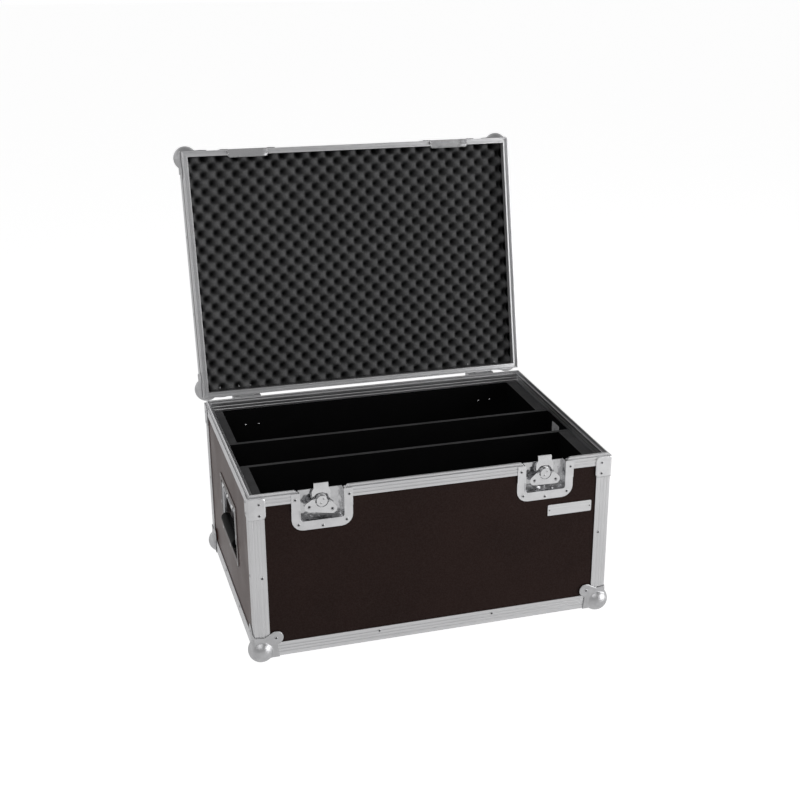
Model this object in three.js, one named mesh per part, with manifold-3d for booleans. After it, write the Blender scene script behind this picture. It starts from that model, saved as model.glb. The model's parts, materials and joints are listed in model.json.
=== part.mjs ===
// Flight case for stage lighting: laminated boards in ribbed aluminium angle, with a hinged lid held
// open by stay hinges, two recessed butterfly latches, two sprung handles and a divided inside.
// Millimetres, +Z up, front towards -Y. The origin is on the floor, under the middle of the whole box.
import * as THREE from "three";
import { mergeVertices } from "three/addons/utils/BufferGeometryUtils.js";
import Module from "manifold-3d";

const wasm = await Module();
wasm.setup();

// Driving dimensions of the whole case, measured over the faces of the aluminium angle.
const CASE = { width: 700, depth: 505, height: 326 };
const LID = { height: 60, closedGap: 0.4 };
const LID_OPEN_DEGREES = 102;
const BOARD = { thickness: 7 };

// Clearances and cuts shared by all pieces.
const FIT = 0.3; // between pieces that touch
const RUN = 0.2; // round a shaft that turns in a bore
const OVERRUN = 5; // how far a cut runs past the face it opens

// Ribbed aluminium angle on every outer edge.
const ANGLE = { leg: 28.3, skin: 1.8 };
const RIB = { width: 2.4, depth: 0.6 };
const ANGLE_RIB_shares = [0.3, 0.52, 0.74];
const LEG_RIB_shares = [0.35, 0.7];

// Closure extrusion: legs that grip the boards, a tongue on the body and a groove in the lid.
const RIM = { leg: 18.5, web: 1.8 };
const TONGUE = { height: 5.3, width: 4.2, setback: 3, chamfer: 1.2 };
const GROOVE = { outer: 2.2, inner: 8.4, depth: 6.4 };

// Pressed ball corners. The four lower ones are the feet, each with a small flat to stand on.
const BALL = { radius: 24.5, inset: 12.5, plate: 1.5, leg: 45, neck: 42, ear: 39.5, earRadius: 13.5 };
const BALL_NECK_HEIGHT = 20;
const BALL_THROAT = 17;
const FOOT_FLAT_RADIUS = 5;
const BALL_SIDES = 20;
const BALL_RINGS = 10;
const EAR_ARC = { start: -80, end: 130, steps: 8 };

// Braces riveted over the upper corners of the body.
const BRACE = { width: 31, height: 43, plate: 1.2, radius: 8 };

// Dividers across the inside and lining blocks on the side boards.
const DIVIDER = { thickness: 9, front: -63, rear: 57 };
const LINING = { thickness: 24.5 };

// Recessed latch: dish, claw on an eccentric cam, and a folding butterfly wing.
const LATCH = { inset: 134, axisDrop: 21.4 }; // inset from the side of the case to the latch's middle
const DISH = { width: 113.6, height: 75.3, opening: 80.3, floor: 56.3, depth: 18, sheet: 1.2, radius: 22 };
const DISH_WELL_RADIUS = 5;
const DISH_WELL_TOP = 2; // the pan's upper edge stops this far below the closing plane
const DISH_JOGGLE = 34; // below this the flange steps down on to the board
const RIM_CUT = { width: 84, bevel: 7.5 };
const CLAW = { width: 34.5, neck: 27.4, sheet: 1.8, setback: 6, rise: 12.2, lean: 1.2, tip: 10.5, bar: 5 };
const CLAW_BEND = 3.3; // height of the bend above the closing plane
const CAM = { eccentricity: 3.5, radius: 9.8, sideClearance: 0.4, liftClearance: 1.1, back: 16.3 };
const CAM_SHAFT = { radius: 3, head: 5, headThickness: 1.2 };
const BOSS = { radius: 10.2, front: 0.5, back: 5.6 };
const WING = { front: 1.5, sheet: 1.8, lobe: 21.5, lobeDrop: 13.8, lobeRadius: 9, hole: 3.6, throat: 12.3 };
const WING_SHOULDER = { x: 16.5, height: 3 };
const WING_TILT_DEGREES = { left: 10.4, right: 1.6 };
const WING_PIN = { radius: 1, height: 2, knuckle: 2.2, reach: 15.5, knuckleEnd: 16.5 };

// Catch dish in the lid, with the ledge that the claw pulls down.
const CATCH = { flange: 30, opening: 18.5, depth: 15.9, radius: 4.5 };
const LEDGE = { width: 33, front: 12.5, bottom: 0.8, top: 3.1 };

// Recessed sprung handle on each side.
const HANDLE = { width: 184, height: 128, drop: 152, opening: 160, openingHeight: 104, depth: 17.4 };
const HANDLE_SHEET = 1.2;
const HANDLE_RADIUS = 8;
const BAIL = { radius: 4, axisDepth: 4.5, axisDrop: 6, halfWidth: 73, drop: 72 };
const GRIP = { radius: 10.5, halfLength: 66 };
const LOOP = { radius: 6, halfWidth: 6, spacing: 52 };
const ROUND_SIDES = 12;

// Stay hinges on the back.
const HINGE = { inset: 90, width: 57, axis: 6.5, sheet: 2, knuckle: 5, pin: 2 };
const HINGE_LEAF = { caseHeight: 68, lidHeight: 43, clear: 6, knuckleShare: 0.46, knuckleGap: 0.5 };
const STAY = { reach: 22, root: 32, nose: 4, sheet: 2 };

// Egg-crate foam pad in the lid.
const FOAM = { thickness: 30, bump: 18, fit: 0.5 };
const FOAM_CELL = { across: 16.5, deep: 16.9 }; // from a peak to the valley beside it
const FOAM_PEAK = { x: 7, y: -0.5 }; // one peak's place from the middle of the lid

// Bare nameplate on the front.
const NAMEPLATE = { width: 90.5, height: 22.8, inset: 81.5, drop: 100.5, sheet: 1.2, radius: 2 };

// Small plate with an eyelet inside the right board, between the dividers.
const EYE_PLATE = { width: 36, height: 32, y: 6, drop: 48, sheet: 1.4, radius: 2, hole: 4 };

const RIGHT_ANGLE = 90; // degrees

// Values worked out from the dimensions above.
const radians = THREE.MathUtils.degToRad;
const footSink = BALL.radius - Math.sqrt(BALL.radius ** 2 - FOOT_FLAT_RADIUS ** 2);
const bodyLift = BALL.radius - BALL.inset - footSink; // floor to the underside of the case
const boardOuter = ANGLE.skin + FIT; // outer face of a board, in from the angle's face
const boardInner = boardOuter + BOARD.thickness;
const rimWidth = boardInner + FIT + RIM.web;
const boardTop = CASE.height - RIM.web - FIT;
const liningTop = CASE.height - RIM.leg - FIT;
const halfWidth = CASE.width / 2;
const halfDepth = CASE.depth / 2;
const hingeAxisY = halfDepth + HINGE.axis;
const wellHalf = DISH.opening / 2;
const latchX = halfWidth - LATCH.inset;
const hingeX = halfWidth - HINGE.inset;
const handleZ = CASE.height - HANDLE.drop;

// Finishes, one for each material of the real case.
const FINISHES = {
  laminate: { color: 0x2b201d, roughness: 0.45, metalness: 0 },
  lining: { color: 0x5a5a5c, roughness: 0.85, metalness: 0 },
  aluminium: { color: 0xc4c5c8, roughness: 0.35, metalness: 0.9 },
  zincSteel: { color: 0xb9babd, roughness: 0.3, metalness: 0.95 },
  grip: { color: 0x111111, roughness: 0.6, metalness: 0 },
  foam: { color: 0x2a2a2c, roughness: 0.95, metalness: 0 },
};
const materials = Object.fromEntries(
  Object.entries(FINISHES).map(([name, finish]) => [name, new THREE.MeshStandardMaterial(finish)]),
);

// A closed geometry as a solid that can be joined and cut.
function solidOf(geometry) {
  const bare = geometry.clone();
  bare.deleteAttribute("normal");
  bare.deleteAttribute("uv");
  const merged = mergeVertices(bare);
  const mesh = new wasm.Mesh({
    numProp: 3,
    vertProperties: merged.attributes.position.array,
    triVerts: new Uint32Array(merged.index.array),
  });
  return new wasm.Manifold(mesh);
}

// The geometry of a solid.
function geometryOf(solid) {
  const mesh = solid.getMesh();
  const geometry = new THREE.BufferGeometry();
  geometry.setAttribute("position", new THREE.BufferAttribute(mesh.vertProperties, 3));
  geometry.setIndex(new THREE.BufferAttribute(mesh.triVerts, 1));
  geometry.computeVertexNormals();
  return geometry;
}

function join(...geometries) {
  return geometryOf(geometries.map(solidOf).reduce((all, next) => all.add(next)));
}

function cut(geometry, ...tools) {
  return geometryOf(tools.map(solidOf).reduce((left, tool) => left.subtract(tool), solidOf(geometry)));
}

function common(geometry, other) {
  return geometryOf(solidOf(geometry).intersect(solidOf(other)));
}

// A box between two corners.
function block([x0, y0, z0], [x1, y1, z1]) {
  const geometry = new THREE.BoxGeometry(x1 - x0, y1 - y0, z1 - z0);
  return geometry.translate((x0 + x1) / 2, (y0 + y1) / 2, (z0 + z1) / 2);
}

// Bases that stand an outline up: drawn as (x, y), (x, z) or (y, z), and thickened along z, y or x.
const STAND = {
  z: new THREE.Matrix4(),
  y: new THREE.Matrix4().makeBasis(
    new THREE.Vector3(1, 0, 0),
    new THREE.Vector3(0, 0, 1),
    new THREE.Vector3(0, -1, 0),
  ),
  x: new THREE.Matrix4().makeBasis(
    new THREE.Vector3(0, 1, 0),
    new THREE.Vector3(0, 0, 1),
    new THREE.Vector3(1, 0, 0),
  ),
};

// An outline thickened along an axis, from one place on it to another.
function plate(outline, axis, from, to) {
  const shape = new THREE.Shape(outline.map(([a, b]) => new THREE.Vector2(a, b)));
  const geometry = new THREE.ExtrudeGeometry(shape, { depth: to - from, bevelEnabled: false });
  geometry.applyMatrix4(STAND[axis]);
  const start = axis === "y" ? to : from;
  return geometry.translate(axis === "x" ? start : 0, axis === "y" ? start : 0, axis === "z" ? start : 0);
}

// Points of an arc, both ends included.
function arc(x, y, radius, startDegrees, endDegrees, steps) {
  return Array.from({ length: steps + 1 }, (_, i) => {
    const angle = radians(startDegrees + ((endDegrees - startDegrees) * i) / steps);
    return [x + radius * Math.cos(angle), y + radius * Math.sin(angle)];
  });
}

// A rectangle with a radius on each corner: lower left, lower right, upper right, upper left.
function roundedRectangle(x0, y0, x1, y1, radii, steps = 4) {
  const corners = [
    [x0 + radii[0], y0 + radii[0], 2 * RIGHT_ANGLE],
    [x1 - radii[1], y0 + radii[1], 3 * RIGHT_ANGLE],
    [x1 - radii[2], y1 - radii[2], 0],
    [x0 + radii[3], y1 - radii[3], RIGHT_ANGLE],
  ];
  return corners.flatMap(([x, y, start], i) =>
    radii[i] > 0 ? arc(x, y, radii[i], start, start + RIGHT_ANGLE, steps) : [[x, y]],
  );
}

function circle(x, y, radius, sides = ROUND_SIDES) {
  return arc(x, y, radius, 0, 360, sides).slice(1);
}

// A round bar between two points.
function bar(from, to, radius, sides = ROUND_SIDES) {
  const start = new THREE.Vector3(...from);
  const along = new THREE.Vector3(...to).sub(start);
  const geometry = new THREE.CylinderGeometry(radius, radius, along.length(), sides);
  geometry.translate(0, along.length() / 2, 0);
  geometry.applyQuaternion(
    new THREE.Quaternion().setFromUnitVectors(new THREE.Vector3(0, 1, 0), along.clone().normalize()),
  );
  return geometry.translate(...from);
}

// A straight run from one point to the next with shallow ribs cut into it, the material on its right.
function ribbed([x0, y0], [x1, y1], shares) {
  const length = Math.hypot(x1 - x0, y1 - y0);
  const along = [(x1 - x0) / length, (y1 - y0) / length];
  const at = (distance, depth) => [
    x0 + along[0] * distance + along[1] * depth,
    y0 + along[1] * distance - along[0] * depth,
  ];
  const cuts = shares.flatMap((share) => {
    const middle = share * length;
    const half = RIB.width / 2;
    return [
      at(middle - half, 0),
      at(middle - half + RIB.depth, RIB.depth),
      at(middle + half - RIB.depth, RIB.depth),
      at(middle + half, 0),
    ];
  });
  return [[x0, y0], ...cuts];
}

// A mitred frame: a profile of [distance in from the faces, height], clockwise, run round a rectangle.
function frame(profile, width, depth) {
  const corners = [[-1, -1], [1, -1], [1, 1], [-1, 1]];
  const count = profile.length;
  const positions = corners.flatMap(([sx, sy]) =>
    profile.flatMap(([inset, height]) => [sx * (width / 2 - inset), sy * (depth / 2 - inset), height]),
  );
  const index = [];
  corners.forEach((_, k) => {
    const next = (k + 1) % corners.length;
    profile.forEach((_, i) => {
      const j = (i + 1) % count;
      const [a, b, c, d] = [k * count + i, next * count + i, next * count + j, k * count + j];
      index.push(a, b, c, a, c, d);
    });
  });
  const geometry = new THREE.BufferGeometry();
  geometry.setAttribute("position", new THREE.Float32BufferAttribute(positions, 3));
  geometry.setIndex(index);
  return geometry;
}

// Turns a profile upside down about a height, and keeps it clockwise.
function flipped(profile, sum) {
  return profile.map(([inset, height]) => [inset, sum - height]).reverse();
}

function named(name, geometry, finish) {
  const mesh = new THREE.Mesh(geometry, materials[finish]);
  mesh.name = name;
  return mesh;
}

function group(...children) {
  return new THREE.Group().add(...children);
}

// L-shaped section of the edge angle, outer faces ribbed, as [across, along] from the outer corner.
function angleProfile() {
  const { leg, skin } = ANGLE;
  return [
    ...ribbed([0, 0], [0, leg], ANGLE_RIB_shares),
    [0, leg],
    [skin, leg],
    [skin, skin],
    [leg, skin],
    ...ribbed([leg, 0], [0, 0], ANGLE_RIB_shares),
  ];
}

// Boards of the body. Notches for latches and handles are cut with the same outlines as their dishes.
function frontPanel() {
  const x = halfWidth - boardInner - FIT;
  const panel = block([-x, boardOuter - halfDepth, boardOuter], [x, boardInner - halfDepth, boardTop]);
  const wells = [-1, 1].map((side) =>
    plate(
      wellOutline(DISH.sheet + 2 * FIT, side * latchX, CASE.height + OVERRUN),
      "y",
      -halfDepth - OVERRUN,
      boardInner + OVERRUN - halfDepth,
    ),
  );
  return cut(panel, ...wells);
}

function backPanel() {
  const x = halfWidth - boardInner - FIT;
  return block([-x, halfDepth - boardInner, boardOuter], [x, halfDepth - boardOuter, boardTop]);
}

function sidePanel(side) {
  const y = halfDepth - boardOuter;
  const xs = [side * (halfWidth - boardOuter), side * (halfWidth - boardInner)].sort((a, b) => a - b);
  const panel = block([xs[0], -y, boardOuter], [xs[1], y, boardTop]);
  return cut(panel, handleWell(HANDLE_SHEET + FIT, xs[0] - OVERRUN, xs[1] + OVERRUN));
}

function bottomPanel() {
  const x = halfWidth - boardInner - FIT;
  const y = halfDepth - boardInner - FIT;
  return block([-x, -y, boardOuter], [x, y, boardInner]);
}

// Outline of the latch well in the front, wider than the opening by the given margin.
function wellOutline(margin, x, top) {
  const half = wellHalf + margin;
  const radius = DISH_WELL_RADIUS + margin;
  const bottom = CASE.height - DISH.floor - margin;
  return roundedRectangle(x - half, bottom, x + half, top, [radius, radius, 0, 0]);
}

// Solid block that fills the handle's well, grown by a margin.
function handleWell(margin, fromX, toX) {
  const y = HANDLE.opening / 2 + margin;
  const z = HANDLE.openingHeight / 2 + margin;
  return block([fromX, -y, handleZ - z], [toX, y, handleZ + z]);
}

// Space that the two handle wells take inside the case.
function handleWellsInside() {
  const inner = halfWidth - HANDLE.depth - FIT;
  const outer = halfWidth + OVERRUN;
  return [handleWell(HANDLE_SHEET + FIT, -outer, -inner), handleWell(HANDLE_SHEET + FIT, inner, outer)];
}

function uprightEdge(sx, sy) {
  const outline = angleProfile().map(([a, b]) => [sx * (halfWidth - a), sy * (halfDepth - b)]);
  return plate(outline, "z", ANGLE.leg + FIT, liningTop);
}

// Closure extrusion of the body, before the latch cuts, as a full frame.
function bodyRimFrame() {
  const top = CASE.height;
  const { setback, width, height, chamfer } = TONGUE;
  const foot = top - RIM.leg;
  const inner = rimWidth - RIM.web;
  const profile = [
    ...ribbed([0, foot], [0, top], LEG_RIB_shares),
    [0, top],
    [setback, top],
    [setback, top + height - chamfer],
    [setback + chamfer, top + height],
    [setback + width - chamfer, top + height],
    [setback + width, top + height - chamfer],
    [setback + width, top],
    ...ribbed([rimWidth, top], [rimWidth, foot], LEG_RIB_shares),
    [rimWidth, foot],
    [inner, foot],
    [inner, top - RIM.web],
    [ANGLE.skin, top - RIM.web],
    [ANGLE.skin, foot],
  ];
  return frame(profile, CASE.width, CASE.depth);
}

// Gap in the front rim for a latch, with bevelled ends on the tongue.
function rimGap(x) {
  const half = RIM_CUT.width / 2;
  const wide = half + RIM_CUT.bevel;
  const low = CASE.height - RIM.leg - OVERRUN;
  const step = CASE.height + TONGUE.height - RIM_CUT.bevel;
  const top = CASE.height + TONGUE.height;
  const outline = [
    [x - half, low],
    [x + half, low],
    [x + half, step],
    [x + wide, top],
    [x + wide, top + OVERRUN],
    [x - wide, top + OVERRUN],
    [x - wide, top],
    [x - half, step],
  ];
  return plate(outline, "y", -halfDepth - OVERRUN, rimWidth + OVERRUN - halfDepth);
}

// The block of space at the front between the two latches, as tall as asked.
function betweenLatches(low, high) {
  const y = rimWidth + OVERRUN - halfDepth;
  return block([-latchX, -halfDepth - OVERRUN, low], [latchX, y, high]);
}

function bodyRims() {
  const gaps = [-1, 1].map((side) => rimGap(side * latchX));
  const whole = cut(bodyRimFrame(), ...gaps);
  const middle = betweenLatches(CASE.height - RIM.leg - OVERRUN, CASE.height + TONGUE.height + OVERRUN);
  return group(
    named("base_rim", cut(whole, middle), "aluminium"),
    named("base_rim_front_middle", common(whole, middle), "aluminium"),
  );
}

// Outline of one plate of a ball corner, from the corner point outwards.
function ballPlateOutline() {
  const edge = -FIT - BALL.plate;
  const { leg, neck, ear, earRadius } = BALL;
  return [
    [edge, edge],
    [leg, edge],
    [neck, BALL_NECK_HEIGHT],
    ...arc(ear, ear, earRadius, EAR_ARC.start, EAR_ARC.end, EAR_ARC.steps),
    [BALL_THROAT, neck],
    [edge, leg],
  ];
}

// Ball corner for the corner of a box that fills x, y, z > 0. A foot also gets its flat.
function ballCorner(isFoot) {
  const outline = ballPlateOutline();
  const plates = ["x", "y", "z"].map((axis) => plate(outline, axis, -FIT - BALL.plate, -FIT));
  const ball = new THREE.SphereGeometry(BALL.radius, BALL_SIDES, BALL_RINGS);
  ball.translate(BALL.inset, BALL.inset, BALL.inset);
  const far = BALL.leg + BALL.radius;
  const inside = block([-FIT, -FIT, -FIT], [far, far, far]);
  const shell = cut(ball, inside);
  const corner = join(shell, ...plates);
  if (!isFoot) return corner;
  const below = block([-far, -far, -bodyLift - OVERRUN], [far, far, -bodyLift]);
  return cut(corner, below);
}

function cornerBrace() {
  const outer = -FIT - BRACE.plate;
  const { width, height, radius } = BRACE;
  const outline = roundedRectangle(outer, -height, width, 0, [0, radius, radius, 0]);
  return join(plate(outline, "y", outer, -FIT), plate(outline, "x", outer, -FIT));
}

function divider(y) {
  const x = halfWidth - boardInner - FIT;
  const half = DIVIDER.thickness / 2;
  const board = block([-x, y - half, boardInner + FIT], [x, y + half, liningTop]);
  return cut(board, ...handleWellsInside());
}

function lining(side, fromY, toY) {
  const outer = halfWidth - boardInner - FIT;
  const inner = outer - LINING.thickness;
  const xs = [side * outer, side * inner].sort((a, b) => a - b);
  const slab = block([xs[0], fromY, boardInner + FIT], [xs[1], toY, liningTop]);
  return cut(slab, ...handleWellsInside());
}

function nameplate() {
  const { width, height, inset, drop, sheet, radius } = NAMEPLATE;
  const x = halfWidth - inset;
  const z = CASE.height - drop;
  const outline = roundedRectangle(
    x - width / 2,
    z - height / 2,
    x + width / 2,
    z + height / 2,
    [radius, radius, radius, radius],
    2,
  );
  const back = boardOuter - FIT - halfDepth;
  return plate(outline, "y", back - sheet, back);
}

function eyePlate() {
  const { width, height, y, drop, sheet, radius, hole } = EYE_PLATE;
  const z = CASE.height - drop;
  const outline = roundedRectangle(
    y - width / 2,
    z - height / 2,
    y + width / 2,
    z + height / 2,
    [radius, radius, radius, radius],
    2,
  );
  const back = halfWidth - boardInner - FIT;
  const bore = plate(circle(y, z, hole), "x", back - sheet - OVERRUN, back + OVERRUN);
  return cut(plate(outline, "x", back - sheet, back), bore);
}

// Latch pieces, drawn with x across, y in from the front face and z up from the closing plane.
function latchDish() {
  const { width, height, sheet, radius, depth, floor } = DISH;
  const joggle = -DISH_JOGGLE;
  const proud = -FIT - sheet;
  const seated = boardOuter - FIT;
  const upper = block([-width / 2, proud, joggle - sheet], [width / 2, -FIT, -FIT]);
  const lowerOutline = roundedRectangle(-width / 2, -height, width / 2, joggle, [radius, radius, 0, 0], 5);
  const lower = plate(lowerOutline, "y", seated - sheet, seated);
  const step = block([-width / 2, proud, joggle - sheet], [width / 2, seated, joggle]);
  const half = wellHalf + sheet;
  const wellRadius = DISH_WELL_RADIUS;
  const panOuter = roundedRectangle(
    -half,
    -floor - sheet,
    half,
    -DISH_WELL_TOP,
    [wellRadius + sheet, wellRadius + sheet, 0, 0],
  );
  const panInner = roundedRectangle(
    -wellHalf,
    -floor,
    wellHalf,
    OVERRUN,
    [wellRadius, wellRadius, 0, 0],
  );
  const pan = plate(panOuter, "y", proud, depth);
  const hollow = plate(panInner, "y", proud - OVERRUN, depth - sheet);
  const hole = bar(
    [0, depth - sheet - OVERRUN, -LATCH.axisDrop],
    [0, depth + OVERRUN, -LATCH.axisDrop],
    CAM_SHAFT.radius + RUN,
  );
  return cut(join(upper, lower, step, pan), hollow, hole);
}

function latchClaw() {
  const { width, neck, sheet, setback, rise, lean, tip, bar: lowBar } = CLAW;
  const camTop = CAM.eccentricity - LATCH.axisDrop;
  const lift = CAM.radius + CAM.liftClearance;
  const bottom = camTop - lift - lowBar;
  const section = [
    [setback, bottom],
    [setback + sheet, bottom],
    [setback + sheet, rise - sheet],
    [tip, rise - sheet],
    [tip, rise],
    [setback + lean, rise],
    [setback, CLAW_BEND],
  ];
  const strip = plate(section, "x", -width / 2, width / 2);
  const reach = CAM.radius + CAM.eccentricity + CAM.sideClearance;
  const round = CAM.radius;
  const window = roundedRectangle(
    -reach,
    camTop - lift,
    reach,
    camTop + lift,
    [round, round, round, round],
  );
  const shoulder = CLAW_BEND - (width - neck);
  const trims = [-1, 1].map((side) => {
    const outline = [
      [side * (neck / 2), CLAW_BEND],
      [side * (width / 2), shoulder],
      [side * (width / 2 + OVERRUN), shoulder],
      [side * (width / 2 + OVERRUN), rise + OVERRUN],
      [side * (neck / 2), rise + OVERRUN],
    ];
    return plate(outline, "y", setback - OVERRUN, tip + OVERRUN);
  });
  return cut(strip, plate(window, "y", setback - OVERRUN, tip + OVERRUN), ...trims);
}

// Cam, drawn about its own axis: boss, eccentric, shaft, rivet head and the wing's two side pins.
function latchCam(tilt) {
  const { eccentricity, radius, back } = CAM;
  const headFront = DISH.depth + FIT;
  const wingMiddle = WING.front + WING.sheet / 2;
  const side = (reach, height) => {
    const turn = radians(-tilt);
    const x = reach * Math.cos(turn) - height * Math.sin(turn);
    const z = reach * Math.sin(turn) + height * Math.cos(turn);
    return [x, wingMiddle, z];
  };
  return join(
    bar([0, BOSS.front, 0], [0, BOSS.back, 0], BOSS.radius, 20),
    bar([0, BOSS.back - FIT, eccentricity], [0, back, eccentricity], radius, 20),
    bar([0, BOSS.back, 0], [0, headFront + CAM_SHAFT.headThickness, 0], CAM_SHAFT.radius),
    bar([0, headFront, 0], [0, headFront + CAM_SHAFT.headThickness, 0], CAM_SHAFT.head),
    bar(side(-WING_PIN.reach, WING_PIN.height), side(WING_PIN.reach, WING_PIN.height), WING_PIN.radius, 8),
  );
}

// Butterfly wing, drawn about the cam's axis before it is tilted.
function latchWing() {
  const { front, sheet, lobe, lobeDrop, lobeRadius, hole, throat } = WING;
  const back = front + sheet;
  const middle = front + sheet / 2;
  const outline = [
    ...arc(lobe, -lobeDrop, lobeRadius, -90, 45, 6),
    [WING_SHOULDER.x, WING_SHOULDER.height],
    [-WING_SHOULDER.x, WING_SHOULDER.height],
    ...arc(-lobe, -lobeDrop, lobeRadius, 135, 270, 6),
  ];
  const across = (side, from, to, radius) =>
    bar([side * from, middle, WING_PIN.height], [side * to, middle, WING_PIN.height], radius, 10);
  const knuckles = [-1, 1].map((side) => across(side, throat, WING_PIN.knuckleEnd, WING_PIN.knuckle));
  const bores = [-1, 1].map((side) =>
    across(side, throat - OVERRUN, WING_PIN.knuckleEnd + OVERRUN, WING_PIN.radius + RUN),
  );
  return cut(
    join(plate(outline, "y", front, back), ...knuckles),
    plate(circle(0, 0, throat, 24), "y", front - OVERRUN, back + OVERRUN),
    plate(circle(-lobe, -lobeDrop, hole, 10), "y", front - OVERRUN, back + OVERRUN),
    plate(circle(lobe, -lobeDrop, hole, 10), "y", front - OVERRUN, back + OVERRUN),
    ...bores,
  );
}

function latch(sideName, side) {
  const wing = named("latch_wing_" + sideName, latchWing(), "zincSteel");
  const tilt = WING_TILT_DEGREES[sideName];
  wing.rotation.y = radians(tilt);
  const cam = group(named("latch_cam_" + sideName, latchCam(tilt), "zincSteel"), wing);
  cam.position.z = -LATCH.axisDrop;
  const all = group(
    named("latch_dish_" + sideName, latchDish(), "zincSteel"),
    named("latch_claw_" + sideName, latchClaw(), "zincSteel"),
    cam,
  );
  all.position.set(side * latchX, -halfDepth, CASE.height);
  return all;
}

// Catch dish in the lid, drawn like the latch with z up from the closing plane of the shut lid.
function lidCatch() {
  const { flange, opening, depth, radius } = CATCH;
  const sheet = DISH.sheet;
  const proud = -FIT - sheet;
  const low = LID.closedGap;
  const half = wellHalf + sheet;
  const panOuter = roundedRectangle(-half, proud, half, depth, [0, 0, radius + sheet, radius + sheet]);
  const panInner = roundedRectangle(
    -wellHalf,
    proud - OVERRUN,
    wellHalf,
    depth - sheet,
    [0, 0, radius, radius],
  );
  const plateFront = block([-DISH.width / 2, proud, low], [DISH.width / 2, -FIT, flange]);
  const pan = plate(panOuter, "z", low, opening + sheet);
  const hollow = plate(panInner, "z", low - OVERRUN, opening);
  const ledge = block(
    [-LEDGE.width / 2, LEDGE.front, LEDGE.bottom],
    [LEDGE.width / 2, depth - sheet / 2, LEDGE.top],
  );
  return join(cut(join(plateFront, pan), hollow), ledge);
}

// Handle pieces of the left side, drawn with x in from the side face, y along and z up the side.
function handleDish() {
  const { width, height, opening, openingHeight, depth } = HANDLE;
  const seat = boardOuter - FIT;
  const r = HANDLE_RADIUS;
  const outline = roundedRectangle(-width / 2, -height / 2, width / 2, height / 2, [r, r, r, r], 3);
  const flange = plate(outline, "x", seat - HANDLE_SHEET, seat);
  const y = opening / 2;
  const z = openingHeight / 2;
  const pan = block(
    [seat - HANDLE_SHEET, -y - HANDLE_SHEET, -z - HANDLE_SHEET],
    [depth, y + HANDLE_SHEET, z + HANDLE_SHEET],
  );
  const hollow = block([-OVERRUN, -y, -z], [depth - HANDLE_SHEET, y, z]);
  const axisZ = z - BAIL.axisDrop;
  const loops = [-1, 0, 1].map((place) => {
    const from = place * LOOP.spacing - LOOP.halfWidth;
    const to = place * LOOP.spacing + LOOP.halfWidth;
    const web = block(
      [BAIL.axisDepth - LOOP.radius / 2, from, axisZ],
      [BAIL.axisDepth + LOOP.radius, to, z + HANDLE_SHEET / 2],
    );
    return join(bar([BAIL.axisDepth, from, axisZ], [BAIL.axisDepth, to, axisZ], LOOP.radius), web);
  });
  const bore = bar([BAIL.axisDepth, -y, axisZ], [BAIL.axisDepth, y, axisZ], BAIL.radius + RUN);
  return cut(join(cut(join(flange, pan), hollow), ...loops), bore);
}

function handleBail() {
  const { axisDepth, radius, halfWidth: y, drop } = BAIL;
  const high = HANDLE.openingHeight / 2 - BAIL.axisDrop;
  const low = high - drop;
  const bars = [
    bar([axisDepth, -y, high], [axisDepth, y, high], radius),
    bar([axisDepth, -y, low], [axisDepth, y, low], radius),
    bar([axisDepth, -y, low], [axisDepth, -y, high], radius),
    bar([axisDepth, y, low], [axisDepth, y, high], radius),
  ];
  const bends = [low, high].flatMap((z) =>
    [-y, y].map((at) => new THREE.SphereGeometry(radius, ROUND_SIDES, 6).translate(axisDepth, at, z)),
  );
  return join(...bars, ...bends);
}

function handleGrip() {
  const { axisDepth, radius, drop } = BAIL;
  const z = HANDLE.openingHeight / 2 - BAIL.axisDrop - drop;
  const y = GRIP.halfLength;
  const tube = bar([axisDepth, -y, z], [axisDepth, y, z], GRIP.radius, 16);
  const bore = bar([axisDepth, -y - OVERRUN, z], [axisDepth, y + OVERRUN, z], radius + FIT);
  return cut(tube, bore);
}

function handle(sideName, side) {
  const all = group(
    named("handle_dish_" + sideName, handleDish(), "zincSteel"),
    named("handle_bail_" + sideName, handleBail(), "zincSteel"),
    named("handle_grip_" + sideName, handleGrip(), "grip"),
  );
  all.position.set(side * halfWidth, 0, handleZ);
  all.rotation.z = side < 0 ? 0 : Math.PI;
  return all;
}

// Stay hinge, drawn about its pin: y away from the back face, z up from the closing plane.
const hingePlateInner = FIT - HINGE.axis;
const hingePlateOuter = hingePlateInner + HINGE.sheet;

function knuckle(fromX, toX) {
  return bar([fromX, 0, 0], [toX, 0, 0], HINGE.knuckle, 14);
}

function hingeBore() {
  const x = HINGE.width / 2 + OVERRUN;
  return bar([-x, 0, 0], [x, 0, 0], HINGE.pin + RUN);
}

// Section of a stay cheek. Its upper edge stops the lid leaf at the open angle.
function stayOutline() {
  const lean = radians(LID_OPEN_DEGREES) - Math.PI / 2;
  const stopHeight = (y) => (-hingePlateOuter - FIT) / Math.cos(lean) - y * Math.tan(lean);
  return [
    [hingePlateInner, -STAY.root],
    [hingePlateOuter, -STAY.root],
    [STAY.reach, stopHeight(STAY.reach) - STAY.nose],
    [STAY.reach, stopHeight(STAY.reach)],
    [0, stopHeight(0)],
    [hingePlateOuter, 0],
    [hingePlateInner, 0],
  ];
}

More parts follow.
